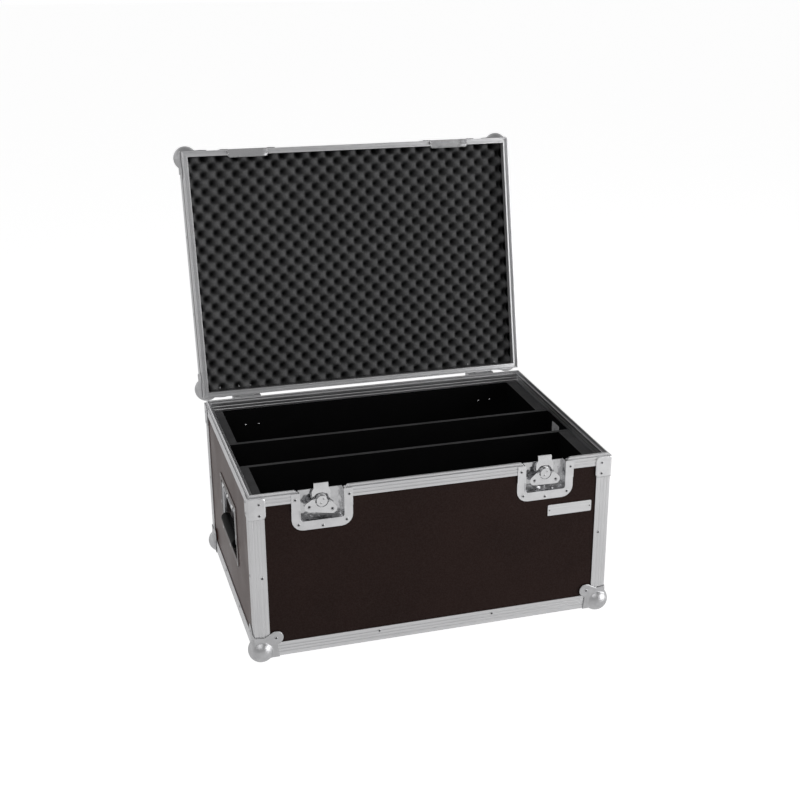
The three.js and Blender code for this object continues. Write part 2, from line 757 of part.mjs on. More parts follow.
function hingeCaseLeaf() {
  const half = HINGE.width / 2;
  const middle = (HINGE.width * HINGE_LEAF.knuckleShare) / 2 + HINGE_LEAF.knuckleGap;
  const { caseHeight, clear } = HINGE_LEAF;
  const leaf = block([-half, hingePlateInner, -caseHeight], [half, hingePlateOuter, -clear]);
  const pad = block(
    [-half, hingePlateInner - boardOuter, -caseHeight],
    [half, hingePlateOuter, -RIM.leg - 2 * FIT],
  );
  const sides = [-1, 1].map((side) => {
    const xs = [side * middle, side * half].sort((a, b) => a - b);
    const web = block([xs[0], hingePlateInner, -clear - OVERRUN], [xs[1], hingePlateOuter, 0]);
    const cheekEdge = side * (half - STAY.sheet);
    const cheekXs = [cheekEdge, side * half].sort((a, b) => a - b);
    return join(knuckle(xs[0], xs[1]), web, plate(stayOutline(), "x", cheekXs[0], cheekXs[1]));
  });
  return cut(join(leaf, pad, ...sides), hingeBore());
}

function hingeLidLeaf() {
  const half = HINGE.width / 2;
  const middle = (HINGE.width * HINGE_LEAF.knuckleShare) / 2 - HINGE_LEAF.knuckleGap;
  const { lidHeight, clear } = HINGE_LEAF;
  const leaf = block([-half, hingePlateInner, clear], [half, hingePlateOuter, lidHeight]);
  const web = block([-middle, hingePlateInner, 0], [middle, hingePlateOuter, clear + OVERRUN]);
  return cut(join(leaf, web, knuckle(-middle, middle)), hingeBore());
}

function hingePin() {
  return bar([-HINGE.width / 2, 0, 0], [HINGE.width / 2, 0, 0], HINGE.pin);
}

// Lid pieces, drawn as on the shut case with z up from the closing plane.
function lidRimFrame() {
  const low = LID.closedGap;
  const web = GROOVE.depth + RIM.web;
  const inner = rimWidth - RIM.web;
  const profile = [
    ...ribbed([0, low], [0, RIM.leg], LEG_RIB_shares),
    [0, RIM.leg],
    [ANGLE.skin, RIM.leg],
    [ANGLE.skin, low + web],
    [inner, low + web],
    [inner, RIM.leg],
    ...ribbed([rimWidth, RIM.leg], [rimWidth, low], LEG_RIB_shares),
    [rimWidth, low],
    [GROOVE.inner, low],
    [GROOVE.inner, low + GROOVE.depth],
    [GROOVE.outer, low + GROOVE.depth],
    [GROOVE.outer, low],
  ];
  return frame(profile, CASE.width, CASE.depth);
}

function lidRims() {
  const high = RIM.leg + OVERRUN;
  const half = RIM_CUT.width / 2;
  const gaps = [-1, 1].map((side) => {
    const x = side * latchX;
    return block([x - half, -halfDepth - OVERRUN, -OVERRUN], [x + half, rimWidth + OVERRUN - halfDepth, high]);
  });
  const whole = cut(lidRimFrame(), ...gaps);
  const middle = betweenLatches(-OVERRUN, high);
  return group(
    named("lid_rim", cut(whole, middle), "aluminium"),
    named("lid_rim_front_middle", common(whole, middle), "aluminium"),
  );
}

const lidWallLow = LID.closedGap + GROOVE.depth + RIM.web + FIT;
const lidBoardLow = LID.height - boardInner;

function lidWallFrame() {
  const profile = [
    [boardOuter, lidWallLow],
    [boardOuter, lidBoardLow - FIT],
    [boardInner, lidBoardLow - FIT],
    [boardInner, lidWallLow],
  ];
  const half = wellHalf + DISH.sheet + 2 * FIT;
  const top = CATCH.opening + DISH.sheet + FIT;
  const wells = [-1, 1].map((side) => {
    const x = side * latchX;
    return block(
      [x - half, -halfDepth - OVERRUN, lidWallLow - OVERRUN],
      [x + half, boardInner + OVERRUN - halfDepth, top],
    );
  });
  return cut(frame(profile, CASE.width, CASE.depth), ...wells);
}

function lidTopPanel() {
  const x = halfWidth - boardOuter;
  const y = halfDepth - boardOuter;
  return block([-x, -y, lidBoardLow], [x, y, LID.height - boardOuter]);
}

// Angle round the top of the lid, with short upright legs down to the closure extrusion.
function lidEdgeFrame() {
  const ring = frame(flipped(angleProfile(), LID.height), CASE.width, CASE.depth);
  const posts = [-1, 1].flatMap((sx) =>
    [-1, 1].map((sy) => {
      const outline = angleProfile().map(([a, b]) => [sx * (halfWidth - a), sy * (halfDepth - b)]);
      return plate(outline, "z", RIM.leg + FIT, LID.height - ANGLE.leg + OVERRUN);
    }),
  );
  return join(ring, ...posts);
}

// Foam pad with staggered pyramids. The flat back lies on the lid's board.
function foamLines(half, cell, peak) {
  const first = Math.ceil((cell - half - peak) / cell);
  const last = Math.floor((half - cell - peak) / cell);
  const lines = [{ at: -half, step: first - 1, rim: true }];
  for (let step = first; step <= last; step += 1) lines.push({ at: peak + step * cell, step, rim: false });
  lines.push({ at: half, step: last + 1, rim: true });
  return lines;
}

function lidFoam() {
  const halfX = halfWidth - boardInner - FOAM.fit;
  const halfY = halfDepth - boardInner - FOAM.fit;
  const back = lidBoardLow - FIT;
  const face = back - FOAM.thickness;
  const valley = face + FOAM.bump;
  const columns = foamLines(halfX, FOAM_CELL.across, FOAM_PEAK.x);
  const rows = foamLines(halfY, FOAM_CELL.deep, FOAM_PEAK.y);
  const [nx, ny] = [columns.length - 1, rows.length - 1];
  const even = (i, j) => Math.abs(columns[i].step + rows[j].step) % 2 === 0;
  const positions = [];
  for (let j = 0; j <= ny; j += 1) {
    for (let i = 0; i <= nx; i += 1) {
      const peak = !columns[i].rim && !rows[j].rim && even(i, j);
      positions.push(columns[i].at, rows[j].at, peak ? face : valley);
    }
  }
  const at = (i, j) => j * (nx + 1) + i;
  const index = [];
  for (let j = 0; j < ny; j += 1) {
    for (let i = 0; i < nx; i += 1) {
      const [a, b, c, d] = [at(i, j), at(i + 1, j), at(i + 1, j + 1), at(i, j + 1)];
      if (even(i, j)) index.push(a, d, b, b, d, c);
      else index.push(a, c, b, a, d, c);
    }
  }
  const corners = [[-1, -1], [1, -1], [1, 1], [-1, 1]];
  const first = (nx + 1) * (ny + 1);
  corners.forEach(([sx, sy]) => positions.push(sx * halfX, sy * halfY, back));
  index.push(first, first + 1, first + 2, first, first + 2, first + 3);
  const edges = [
    Array.from({ length: nx + 1 }, (_, i) => at(i, 0)),
    Array.from({ length: ny + 1 }, (_, j) => at(nx, j)),
    Array.from({ length: nx + 1 }, (_, i) => at(nx - i, ny)),
    Array.from({ length: ny + 1 }, (_, j) => at(0, ny - j)),
  ];
  edges.forEach((edge, k) => {
    const here = first + k;
    const next = first + ((k + 1) % edges.length);
    for (let i = 0; i + 1 < edge.length; i += 1) index.push(here, edge[i], edge[i + 1]);
    index.push(here, edge[edge.length - 1], next);
  });
  const geometry = new THREE.BufferGeometry();
  geometry.setAttribute("position", new THREE.Float32BufferAttribute(positions, 3));
  geometry.setIndex(index);
  return geometry;
}

// Sets a piece drawn for the lowest left front corner into another corner of a box.
function inCorner(mesh, sx, sy, sz, height) {
  mesh.scale.set(-sx, -sy, -sz);
  mesh.position.set(sx * halfWidth, sy * halfDepth, height);
  return mesh;
}

const SIDES = [["left", -1], ["right", 1]];
const ENDS = [["front", -1], ["back", 1]];
const CORNERS = ENDS.flatMap(([end, sy]) => SIDES.map(([side, sx]) => [end + "_" + side, sx, sy]));

function body() {
  const innerY = halfDepth - boardInner - FIT;
  const half = DIVIDER.thickness / 2 + FIT;
  const linings = SIDES.flatMap(([name, side]) => [
    named("lining_front_" + name, lining(side, -innerY, DIVIDER.front - half), "lining"),
    named("lining_rear_" + name, lining(side, DIVIDER.rear + half, innerY), "lining"),
  ]);
  return group(
    named("front_panel", frontPanel(), "laminate"),
    named("back_panel", backPanel(), "laminate"),
    named("left_panel", sidePanel(-1), "laminate"),
    named("right_panel", sidePanel(1), "laminate"),
    named("bottom_panel", bottomPanel(), "laminate"),
    ...CORNERS.map(([name, sx, sy]) => named("edge_" + name, uprightEdge(sx, sy), "aluminium")),
    named("bottom_edge_frame", frame(angleProfile(), CASE.width, CASE.depth), "aluminium"),
    bodyRims(),
    ...CORNERS.map(([name, sx, sy]) =>
      inCorner(named("foot_corner_" + name, ballCorner(true), "zincSteel"), sx, sy, -1, 0),
    ),
    ...CORNERS.map(([name, sx, sy]) =>
      inCorner(named("corner_brace_" + name, cornerBrace(), "zincSteel"), sx, sy, -1, CASE.height),
    ),
    named("front_divider", divider(DIVIDER.front), "lining"),
    named("rear_divider", divider(DIVIDER.rear), "lining"),
    ...linings,
    named("nameplate", nameplate(), "aluminium"),
    named("eye_plate_right", eyePlate(), "zincSteel"),
    ...SIDES.map(([name, side]) => latch(name, side)),
    ...SIDES.map(([name, side]) => handle(name, side)),
  );
}

function hinges() {
  return SIDES.map(([name, side]) => {
    const parts = group(
      named("hinge_case_leaf_" + name, hingeCaseLeaf(), "zincSteel"),
      named("hinge_pin_" + name, hingePin(), "zincSteel"),
    );
    parts.position.set(side * hingeX, hingeAxisY, CASE.height);
    return parts;
  });
}

function lid() {
  const leaves = SIDES.map(([name, side]) => {
    const leaf = named("hinge_lid_leaf_" + name, hingeLidLeaf(), "zincSteel");
    leaf.position.x = side * hingeX;
    return leaf;
  });
  const catches = SIDES.map(([name, side]) => {
    const mesh = named("lid_catch_" + name, lidCatch(), "zincSteel");
    mesh.position.set(side * latchX, -halfDepth, 0);
    return mesh;
  });
  const shut = group(
    named("lid_top_panel", lidTopPanel(), "laminate"),
    named("lid_wall_frame", lidWallFrame(), "laminate"),
    named("lid_edge_frame", lidEdgeFrame(), "aluminium"),
    lidRims(),
    ...CORNERS.map(([name, sx, sy]) =>
      inCorner(named("lid_corner_" + name, ballCorner(false), "zincSteel"), sx, sy, 1, LID.height),
    ),
    named("lid_foam", lidFoam(), "foam"),
    ...catches,
  );
  shut.position.y = -hingeAxisY;
  const swing = group(shut, ...leaves);
  swing.position.set(0, hingeAxisY, CASE.height);
  swing.rotation.x = -radians(LID_OPEN_DEGREES);
  return swing;
}

// Everything, set with the middle of the floor under its whole box at the origin.
const flightCase = group(body(), ...hinges(), lid());
const extent = new THREE.Box3().setFromObject(flightCase, true);
flightCase.position.set(0, -(extent.min.y + extent.max.y) / 2, bodyLift);

const root = new THREE.Group();
root.name = "flight_case";
root.add(flightCase);

export default root;
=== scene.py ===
"""Looks of an open flight case: ribbed aluminium, dark laminate, pressed fittings and egg-crate foam."""

import json
import logging
import math
from collections.abc import Callable, Iterable, Iterator, Sequence
from dataclasses import dataclass, field
from enum import Enum

import bmesh
import bpy
from mathutils import Matrix, Vector
from mathutils.geometry import delaunay_2d_cdt


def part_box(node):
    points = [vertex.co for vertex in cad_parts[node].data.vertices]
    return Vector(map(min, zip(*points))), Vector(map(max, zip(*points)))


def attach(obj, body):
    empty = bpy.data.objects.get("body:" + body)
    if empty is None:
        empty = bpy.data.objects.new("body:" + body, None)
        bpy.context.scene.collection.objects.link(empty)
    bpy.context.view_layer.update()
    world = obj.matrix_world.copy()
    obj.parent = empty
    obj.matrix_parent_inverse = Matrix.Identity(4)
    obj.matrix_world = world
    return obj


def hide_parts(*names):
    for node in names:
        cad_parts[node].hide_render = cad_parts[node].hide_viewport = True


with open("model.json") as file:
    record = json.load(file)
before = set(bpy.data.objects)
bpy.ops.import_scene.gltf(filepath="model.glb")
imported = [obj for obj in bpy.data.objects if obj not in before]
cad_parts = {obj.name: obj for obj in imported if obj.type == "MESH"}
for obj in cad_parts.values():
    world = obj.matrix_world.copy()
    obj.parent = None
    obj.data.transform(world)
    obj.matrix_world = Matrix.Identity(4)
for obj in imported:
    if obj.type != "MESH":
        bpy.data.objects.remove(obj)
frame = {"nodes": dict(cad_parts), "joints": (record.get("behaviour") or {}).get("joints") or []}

log = logging.getLogger("flight_case")

MM = 0.001
RUN_MAP = "run"
WEAR = "edge_wear"
FACING = "facing"
SIZE = "size"
HOLE_SHADE = "hole"
RISE = "rise"
ROUND_ABOVE = 32.0
MERGE_MM = 0.004
FLAT_DEGREES = 0.6
RUN_TILT = Vector((1.0, 1.1, 1.2))
NORMAL_WEIGHT = 60
ROW_STEP = 0.866
FILL_GAP = 0.6
NUMBER = "NodeSocketFloat"

Point2 = tuple[float, float]
Point3 = tuple[float, float, float]
Colour = tuple[float, float, float]
Socket = bpy.types.NodeSocket
Piece = bpy.types.Object
Material = bpy.types.Material
BMesh = bmesh.types.BMesh
BMFace = bmesh.types.BMFace


class Side(Enum):
    """The two sides of the case, seen from the front."""

    LEFT = -1
    RIGHT = 1

    @property
    def label(self) -> str:
        """The side's name as the node names end in it."""
        return self.name.lower()


class Look(Enum):
    """Every finish on the object, with its material's name."""

    ALUMINIUM = "ribbed_aluminium"
    PRESSED = "pressed_zinc"
    CORNER = "corner_zinc"
    PAN = "pan_zinc_painted_shade"
    DARK_FLANGE_AND_SHADE = "dark_flange_and_wall_shade"
    BRIGHT = "bright_zinc"
    LAMINATE = "brown_laminate"
    LINING = "black_felt"
    BOARD_EDGE = "grey_board_edge"
    FOAM = "charcoal_foam"
    GRIP = "black_rubber"
    RIVET = "rivet_head"
    TIN = "grey_tin"
    WIRE = "spring_wire"
    PLATE = "brushed_plate"


class Tree:
    """A node tree being built, with short calls for nodes, sums and links."""

    def __init__(self, tree: bpy.types.NodeTree) -> None:
        """Wraps a tree."""
        self.tree = tree

    def feed(self, socket: Socket, value: object) -> None:
        """Links a socket or node to an input, or sets the input's own value.

        Args:
            socket: the input.
            value: an output socket, a node, whose first output is taken, or a plain value.
        """
        if isinstance(value, bpy.types.Node):
            value = value.outputs[0]
        if isinstance(value, Socket):
            self.tree.links.new(value, socket)
        else:
            socket.default_value = value

    def node(self, kind: str, inputs: dict | None = None, **settings: object) -> bpy.types.Node:
        """Adds a node.

        Args:
            kind: the node's type name.
            inputs: values or links by socket name or number.
            settings: the node's own properties.

        Returns:
            The node.
        """
        node = self.tree.nodes.new(kind)
        for name, value in settings.items():
            setattr(node, name, value)
        for socket, value in (inputs or {}).items():
            self.feed(node.inputs[socket], value)
        return node

    def math(self, operation: str, *values: object, clamp: bool = False) -> Socket:
        """A sum on numbers by its name, kept from 0 to 1 if clamp is set."""
        settings = {"operation": operation, "use_clamp": clamp}
        return self.node("ShaderNodeMath", dict(enumerate(values)), **settings).outputs[0]

    def times(self, first: object, second: object) -> Socket:
        """The product of two numbers."""
        return self.math("MULTIPLY", first, second)

    def plus(self, first: object, second: object) -> Socket:
        """The sum of two numbers."""
        return self.math("ADD", first, second)

    def minus(self, first: object, second: object) -> Socket:
        """The first number less the second."""
        return self.math("SUBTRACT", first, second)

    def pick(self, mask: object, chosen: object, other: object) -> Socket:
        """One number where a mask is 1 and another where it is 0."""
        return self.plus(self.times(mask, chosen), self.times(self.minus(1.0, mask), other))

    def xyz(self, *parts: object) -> bpy.types.Node:
        """Three numbers as a vector."""
        return self.node("ShaderNodeCombineXYZ", dict(enumerate(parts)))

    def spread(self, value: object, low: object, high: object, to_low: float = 0.0, to_high: float = 1.0,
               smooth: bool = True) -> Socket:
        """Maps a value from one range to another.

        Args:
            value: the value.
            low: the start of its range.
            high: the end of its range.
            to_low: what the start becomes.
            to_high: what the end becomes.
            smooth: eases both ends.

        Returns:
            The result's socket.
        """
        node = self.node("ShaderNodeMapRange", interpolation_type="SMOOTHSTEP" if smooth else "LINEAR")
        for number, term in enumerate((value, low, high, to_low, to_high)):
            self.feed(node.inputs[number], term)
        return node.outputs[0]

    def between(self, mask: object, at_none: float, at_full: float) -> Socket:
        """A number that goes evenly from one value to another as a mask goes from 0 to 1."""
        return self.spread(mask, 0.0, 1.0, at_none, at_full, False)

    def blend(self, factor: object, first: object, second: object, how: str = "MIX") -> Socket:
        """Mixes two colours.

        Args:
            factor: the share of the second one.
            first: a colour or socket.
            second: a colour or socket.
            how: the blend's name.

        Returns:
            The colour's socket.
        """
        node = self.node("ShaderNodeMix", data_type="RGBA", blend_type=how, clamp_factor=True)
        for number, term in ((0, factor), (6, first), (7, second)):
            self.feed(node.inputs[number], term)
        return node.outputs[2]

    def noise(self, vector: object, scale: object, detail: float, roughness: float = 0.5) -> Socket:
        """The value of a noise texture."""
        inputs = {"Vector": vector, "Scale": scale, "Detail": detail, "Roughness": roughness}
        return self.node("ShaderNodeTexNoise", inputs).outputs[0]

    def mark(self, name: str) -> Socket:
        """The value of a mark that the mesh carries."""
        return self.node("ShaderNodeAttribute", attribute_name=name).outputs["Fac"]


def with_alpha(colour: Colour, factor: float = 1.0) -> tuple[float, float, float, float]:
    """The colour times a factor, as a socket takes it."""
    return (colour[0] * factor, colour[1] * factor, colour[2] * factor, 1.0)


class Effects:
    """Shader groups that several finishes share. Each puts out a mask from 0 to 1."""

    def __init__(self) -> None:
        """Builds every group once."""
        self.patches = self._patches()
        self.lines = self._lines()
        self.wear = self._wear()
        self.scuffs = self._scuffs()

    @staticmethod
    def _start(name: str, **defaults: float) -> tuple[Tree, bpy.types.NodeOutputs]:
        """Starts a group that takes coordinates and some numbers.

        Args:
            name: the group's name.
            defaults: each number's default by its name.

        Returns:
            The tree and what the group is given.
        """
        group = bpy.data.node_groups.new(name, "ShaderNodeTree")
        group.interface.new_socket("Vector", in_out="INPUT", socket_type="NodeSocketVector")
        for label, default in defaults.items():
            group.interface.new_socket(label, in_out="INPUT", socket_type=NUMBER).default_value = default
        group.interface.new_socket("Mask", in_out="OUTPUT", socket_type=NUMBER)
        tree = Tree(group)
        return tree, tree.node("NodeGroupInput").outputs

    @staticmethod
    def _end(tree: Tree, mask: Socket) -> bpy.types.NodeTree:
        """Closes a group on its mask."""
        tree.node("NodeGroupOutput", {"Mask": mask})
        return tree.tree

    def _patches(self) -> bpy.types.NodeTree:
        """Soft cloudy patches.

        Returns:
            The group.
        """
        tree, given = self._start("soft_patches", Scale=30.0, Contrast=0.25)
        noise = tree.noise(given["Vector"], given["Scale"], 4.0, 0.55)
        low, high = tree.minus(0.5, given["Contrast"]), tree.plus(0.5, given["Contrast"])
        return self._end(tree, tree.spread(noise, low, high))

    def _lines(self) -> bpy.types.NodeTree:
        """Fine lines along the first coordinate, as on drawn or brushed metal.

        Returns:
            The group.
        """
        tree, given = self._start("drawn_lines", Along=6.0, Across=900.0)
        scale = tree.xyz(given["Along"], given["Across"], given["Across"])
        stretched = tree.node("ShaderNodeVectorMath", {0: given["Vector"], 1: scale}, operation="MULTIPLY")
        return self._end(tree, tree.spread(tree.noise(stretched, 1.0, 3.0, 0.6), 0.3, 0.7))

    def _wear(self) -> bpy.types.NodeTree:
        """Rubbed edges: the mesh marks its rounded edges, and noise breaks the marks up.

        Returns:
            The group.
        """
        tree, given = self._start("edge_rub", Scale=90.0)
        broken = tree.spread(tree.noise(given["Vector"], given["Scale"], 3.0), 0.32, 0.62)
        return self._end(tree, tree.times(tree.mark(WEAR), broken))

    def _scuffs(self) -> bpy.types.NodeTree:
        """Sparse hair-thin scratches in mixed directions.

        Returns:
            The group.
        """
        tree, given = self._start("scuffs", Scale=12.0, Width=0.012)
        bent = tree.node("ShaderNodeTexNoise", {"Vector": given["Vector"], "Scale": 5.0, "Detail": 1.0})
        moved = tree.node("ShaderNodeVectorMath", {0: given["Vector"], 1: bent.outputs[1]}, operation="ADD")
        cells = tree.node("ShaderNodeTexVoronoi", {"Vector": moved, "Scale": given["Scale"]},
                          feature="DISTANCE_TO_EDGE")
        thin = tree.math("LESS_THAN", cells.outputs[0], given["Width"])
        sparse = tree.spread(tree.noise(given["Vector"], 26.0, 2.0), 0.55, 0.66)
        return self._end(tree, tree.times(thin, sparse))


class Paint(Tree):
    """A material being built round one Principled shader."""

    def __init__(self, name: str, effects: Effects) -> None:
        """Starts the material.

        Args:
            name: its name.
            effects: the shared groups.
        """
        self.material = bpy.data.materials.new(name)
        self.material.use_nodes = True
        super().__init__(self.material.node_tree)
        self.effects = effects
        self.shader = self.tree.nodes["Principled BSDF"]
        self.place = self.node("ShaderNodeTexCoord").outputs["Object"]

    def mask(self, group: bpy.types.NodeTree, **inputs: object) -> Socket:
        """Places a shared group.

        Args:
            group: the group.
            inputs: its inputs by name; Vector is the object's coordinates if left out.

        Returns:
            Its mask.
        """
        node = self.node("ShaderNodeGroup", node_tree=group)
        for name, value in {"Vector": self.place, **inputs}.items():
            self.feed(node.inputs[name], value)
        return node.outputs["Mask"]

    def patchy(self, mask: Socket, colour: Colour, dim: float, full: float = 1.0) -> Socket:
        """A colour that a mask takes from one share of itself to another."""
        return self.blend(mask, with_alpha(colour, dim), with_alpha(colour, full))

    def shaded(self, colour: Socket, shade: Socket) -> Socket:
        """A colour times a number."""
        return self.blend(1.0, colour, shade, "MULTIPLY")

    def bump(self, height: Socket, strength: float, distance: float) -> None:
        """Adds a height to the shader's normal.

        Args:
            height: the height, 0 to 1.
            strength: how much of it shows.
            distance: its full height in metres.
        """
        node = self.node("ShaderNodeBump", {"Strength": strength, "Distance": distance, "Height": height})
        for link in self.shader.inputs["Normal"].links:
            self.feed(node.inputs["Normal"], link.from_socket)
        self.feed(self.shader.inputs["Normal"], node)

    def set(self, **values: object) -> None:
        """Sets or links the shader's sockets; an underscore stands for a space."""
        for name, value in values.items():
            self.feed(self.shader.inputs[name.replace("_", " ")], value)


@dataclass(frozen=True)
class Finish:
    """Any finish, with its base colour and roughness."""

    colour: Colour
    roughness: float

    def dress(self, paint: Paint) -> None:
        """Wires the material's shader, in its own way for each kind of finish."""
        raise NotImplementedError(f"{self} has no way to dress {paint.material.name}")

    def build(self, name: str, effects: Effects) -> Material:
        """Makes the material.

        Args:
            name: its name.
            effects: the shared groups.

        Returns:
            The material.
        """
        paint = Paint(name, effects)
        self.dress(paint)
        return paint.material


@dataclass(frozen=True)
class Metal(Finish):
    """A bare metal finish with cloudy patches, drawn lines, rubbed edges and soft dents."""

    tone_share: float = 0.12
    rough_share: float = 0.08
    patch_scale: float = 35.0
    line_share: float = 0.0
    line_across: float = 900.0
    grain_scale: float = 900.0
    grain_height: float = 0.00003
    wear_share: float = 0.5
    dent_scale: float = 70.0
    dent_height: float = 0.0
    line_grain: float = 0.3
    grain_strength: float = 0.5
    rubbed: Colour = (0.93, 0.93, 0.94)
    rubbed_gloss: float = 0.12

    def dress(self, paint: Paint) -> None:
        """Wires the shader.

        Args:
            paint: the material being built.
        """
        patches = paint.mask(paint.effects.patches, Scale=self.patch_scale)
        colour = paint.patchy(patches, self.colour, 1.0 - self.tone_share)
        rough = paint.between(patches, self.roughness + self.rough_share, self.roughness)
        height = grain = paint.noise(paint.place, self.grain_scale, 2.0)
        if self.line_share:
            along_run = paint.node("ShaderNodeUVMap", uv_map=RUN_MAP)
            lines = paint.mask(paint.effects.lines, Vector=along_run, Across=self.line_across)
            colour = paint.shaded(colour, paint.between(lines, 1.0 - self.line_share, 1.0))
            rough = paint.plus(rough, paint.times(lines, -self.rough_share))
            height = paint.plus(paint.times(grain, self.line_grain), lines)
        wear = paint.times(paint.mask(paint.effects.wear), self.wear_share)
        colour = paint.blend(wear, colour, with_alpha(self.rubbed))
        rough = paint.math("SUBTRACT", rough, paint.times(wear, self.rubbed_gloss), clamp=True)
        paint.set(Base_Color=colour, Roughness=rough, Metallic=1.0)
        paint.bump(height, self.grain_strength, self.grain_height)
        if self.dent_height:
            paint.bump(paint.noise(paint.place, self.dent_scale, 1.0), 1.0, self.dent_height)


@dataclass(frozen=True)
class Laminate(Finish):
    """Dark phenolic film on plywood, with a fine skin, dust and a few scuffs."""

    specular: float = 0.08
    sheen: float = 0.2
    sheen_roughness: float = 0.35
    sheen_tint: Colour = (0.62, 0.3, 0.24)
    cloud_scale: float = 7.0
    cloud_tones: Point2 = (0.86, 1.12)
    cloud_roughness: Point2 = (0.05, -0.03)
    dust_scale: float = 420.0
    dust_share: float = 0.05
    dust: Colour = (0.16, 0.13, 0.12)
    scuff_share: float = 0.06
    scuff: Colour = (0.2, 0.17, 0.16)
    scuff_roughness: float = 0.1
    skin_scale: float = 700.0
    skin_height: float = 0.00006

    def dress(self, paint: Paint) -> None:
        """Wires the shader.

        Args:
            paint: the material being built.
        """
        clouds = paint.mask(paint.effects.patches, Scale=self.cloud_scale)
        specks = paint.mask(paint.effects.patches, Scale=self.dust_scale, Contrast=0.12)
        scuffs = paint.mask(paint.effects.scuffs, Scale=9.0, Width=0.003)
        colour = paint.patchy(clouds, self.colour, *self.cloud_tones)
        colour = paint.blend(paint.times(specks, self.dust_share), colour, with_alpha(self.dust))
        colour = paint.blend(paint.times(scuffs, self.scuff_share), colour, with_alpha(self.scuff))
        rough = paint.between(clouds, *(self.roughness + change for change in self.cloud_roughness))
        rough = paint.plus(rough, paint.times(scuffs, self.scuff_roughness))
        paint.set(Base_Color=colour, Roughness=rough, Metallic=0.0, Specular_IOR_Level=self.specular,
                  Sheen_Weight=self.sheen, Sheen_Roughness=self.sheen_roughness,
                  Sheen_Tint=with_alpha(self.sheen_tint))
        paint.bump(paint.noise(paint.place, self.skin_scale, 2.0), 0.35, self.skin_height)


@dataclass(frozen=True)
class Soft(Finish):
    """A matt finish: felt, rubber, bare board, painted tin or open foam, whose pits can take a painted
    shade.
    """

    grain_scale: float
    grain_height: float
    specular: float = 0.1
    tone_share: float = 0.25
    patch_scale: float = 25.0
    pit_shade_share: float = 0.0
    fibre_share: float = 1.7
    speck_tones: Point2 = (0.8, 1.15)
    rough_change: float = 0.05

    def dress(self, paint: Paint) -> None:
        """Wires the shader.

        Args:
            paint: the material being built.
        """
        patches = paint.mask(paint.effects.patches, Scale=self.patch_scale)
        colour = paint.patchy(patches, self.colour, 1.0 - self.tone_share)
        pores = paint.node("ShaderNodeTexVoronoi", {"Vector": paint.place, "Scale": self.grain_scale})
        fibres = paint.noise(paint.place, self.grain_scale * self.fibre_share, 3.0)
        height = paint.plus(pores, fibres)
        colour = paint.shaded(colour, paint.spread(height, 0.5, 1.3, *self.speck_tones, False))
        # painted shade: the colour darkens towards the bottom of each pit, by the rise that the mesh
        # carries
        if self.pit_shade_share:
            depth = paint.spread(paint.mark(RISE), 0.1, 0.9, 1.0 - self.pit_shade_share, 1.0, False)
            colour = paint.shaded(colour, depth)
        rough = paint.spread(fibres, 0.3, 0.7, self.roughness - self.rough_change,
                             self.roughness + self.rough_change, False)
        paint.set(Base_Color=colour, Roughness=rough, Metallic=0.0, Specular_IOR_Level=self.specular)
        paint.bump(height, 0.6, self.grain_height)


@dataclass(frozen=True)
class RivetHead(Finish):
    """Blind rivet head, with painted shade in its hollow and along the seam under its rim."""

    tone_share: float = 0.15
    patch_scale: float = 160.0
    hollow_shade_colour: Colour = (0.03, 0.03, 0.032)
    shank_metal: float = 0.8
    shank_roughness: float = 0.3

    def dress(self, paint: Paint) -> None:
        """Wires the shader.

        Args:
            paint: the material being built.
        """
        # painted shade: the marked hollow and rim seam are coloured near black, less metallic and rougher
        hollow = paint.mark(HOLE_SHADE)
        patches = paint.mask(paint.effects.patches, Scale=self.patch_scale)
        head = paint.patchy(patches, self.colour, 1.0 - self.tone_share)
        paint.set(Base_Color=paint.blend(hollow, head, with_alpha(self.hollow_shade_colour)),
                  Metallic=paint.minus(1.0, paint.times(hollow, self.shank_metal)),
                  Roughness=paint.plus(self.roughness, paint.times(hollow, self.shank_roughness)))
        paint.bump(patches, 0.2, 0.00004)


FINISHES: dict[Look, Finish] = {
    Look.ALUMINIUM: Metal((0.70, 0.70, 0.71), 0.36, 0.08, 0.06, 9.0, 0.16, 1100.0, 600.0, 0.00002, 0.4),
    Look.PRESSED: Metal((0.70, 0.70, 0.71), 0.36, 0.12, 0.08, 45.0),
    Look.CORNER: Metal((0.54, 0.54, 0.55), 0.38, 0.16, 0.08, 55.0),
    # the latch well's zinc, darker than the pressed zinc as painted shade, and glossier with soft dents
    Look.PAN: Metal((0.58, 0.58, 0.59), 0.16, 0.12, 0.06, 60.0, dent_height=0.0024),
    # dark brownish zinc for the handle dish's flange, and painted shade on the walls of its well
    Look.DARK_FLANGE_AND_SHADE: Metal((0.17, 0.15, 0.145), 0.42, 0.1, 0.06, 40.0, wear_share=0.12),
    Look.BRIGHT: Metal((0.70, 0.70, 0.71), 0.18, 0.08, 0.06, 60.0, grain_height=0.00001),
    Look.LAMINATE: Laminate((0.021, 0.0105, 0.0088), 0.3),
    Look.LINING: Soft((0.0035, 0.0035, 0.0037), 0.85, 900.0, 0.0003, 0.05),
    Look.BOARD_EDGE: Soft((0.075, 0.075, 0.077), 0.75, 500.0, 0.0002, 0.2),
    # the foam's last number, 0.86, is the share of painted shade at the bottom of its pits
    Look.FOAM: Soft((0.122, 0.122, 0.124), 0.95, 620.0, 0.0008, 0.1, 0.15, 14.0, 0.86),
    Look.GRIP: Soft((0.004, 0.004, 0.0043), 0.55, 700.0, 0.0001, 0.05),
    Look.RIVET: RivetHead((0.66, 0.66, 0.67), 0.32),
    Look.TIN: Soft((0.75, 0.75, 0.76), 0.45, 500.0, 0.00005, 0.5),
    Look.WIRE: Metal((0.45, 0.45, 0.46), 0.2, grain_height=0.00001),
    Look.PLATE: Metal((0.76, 0.76, 0.77), 0.33, 0.05, 0.05, 30.0, 0.2, 1600.0),
}


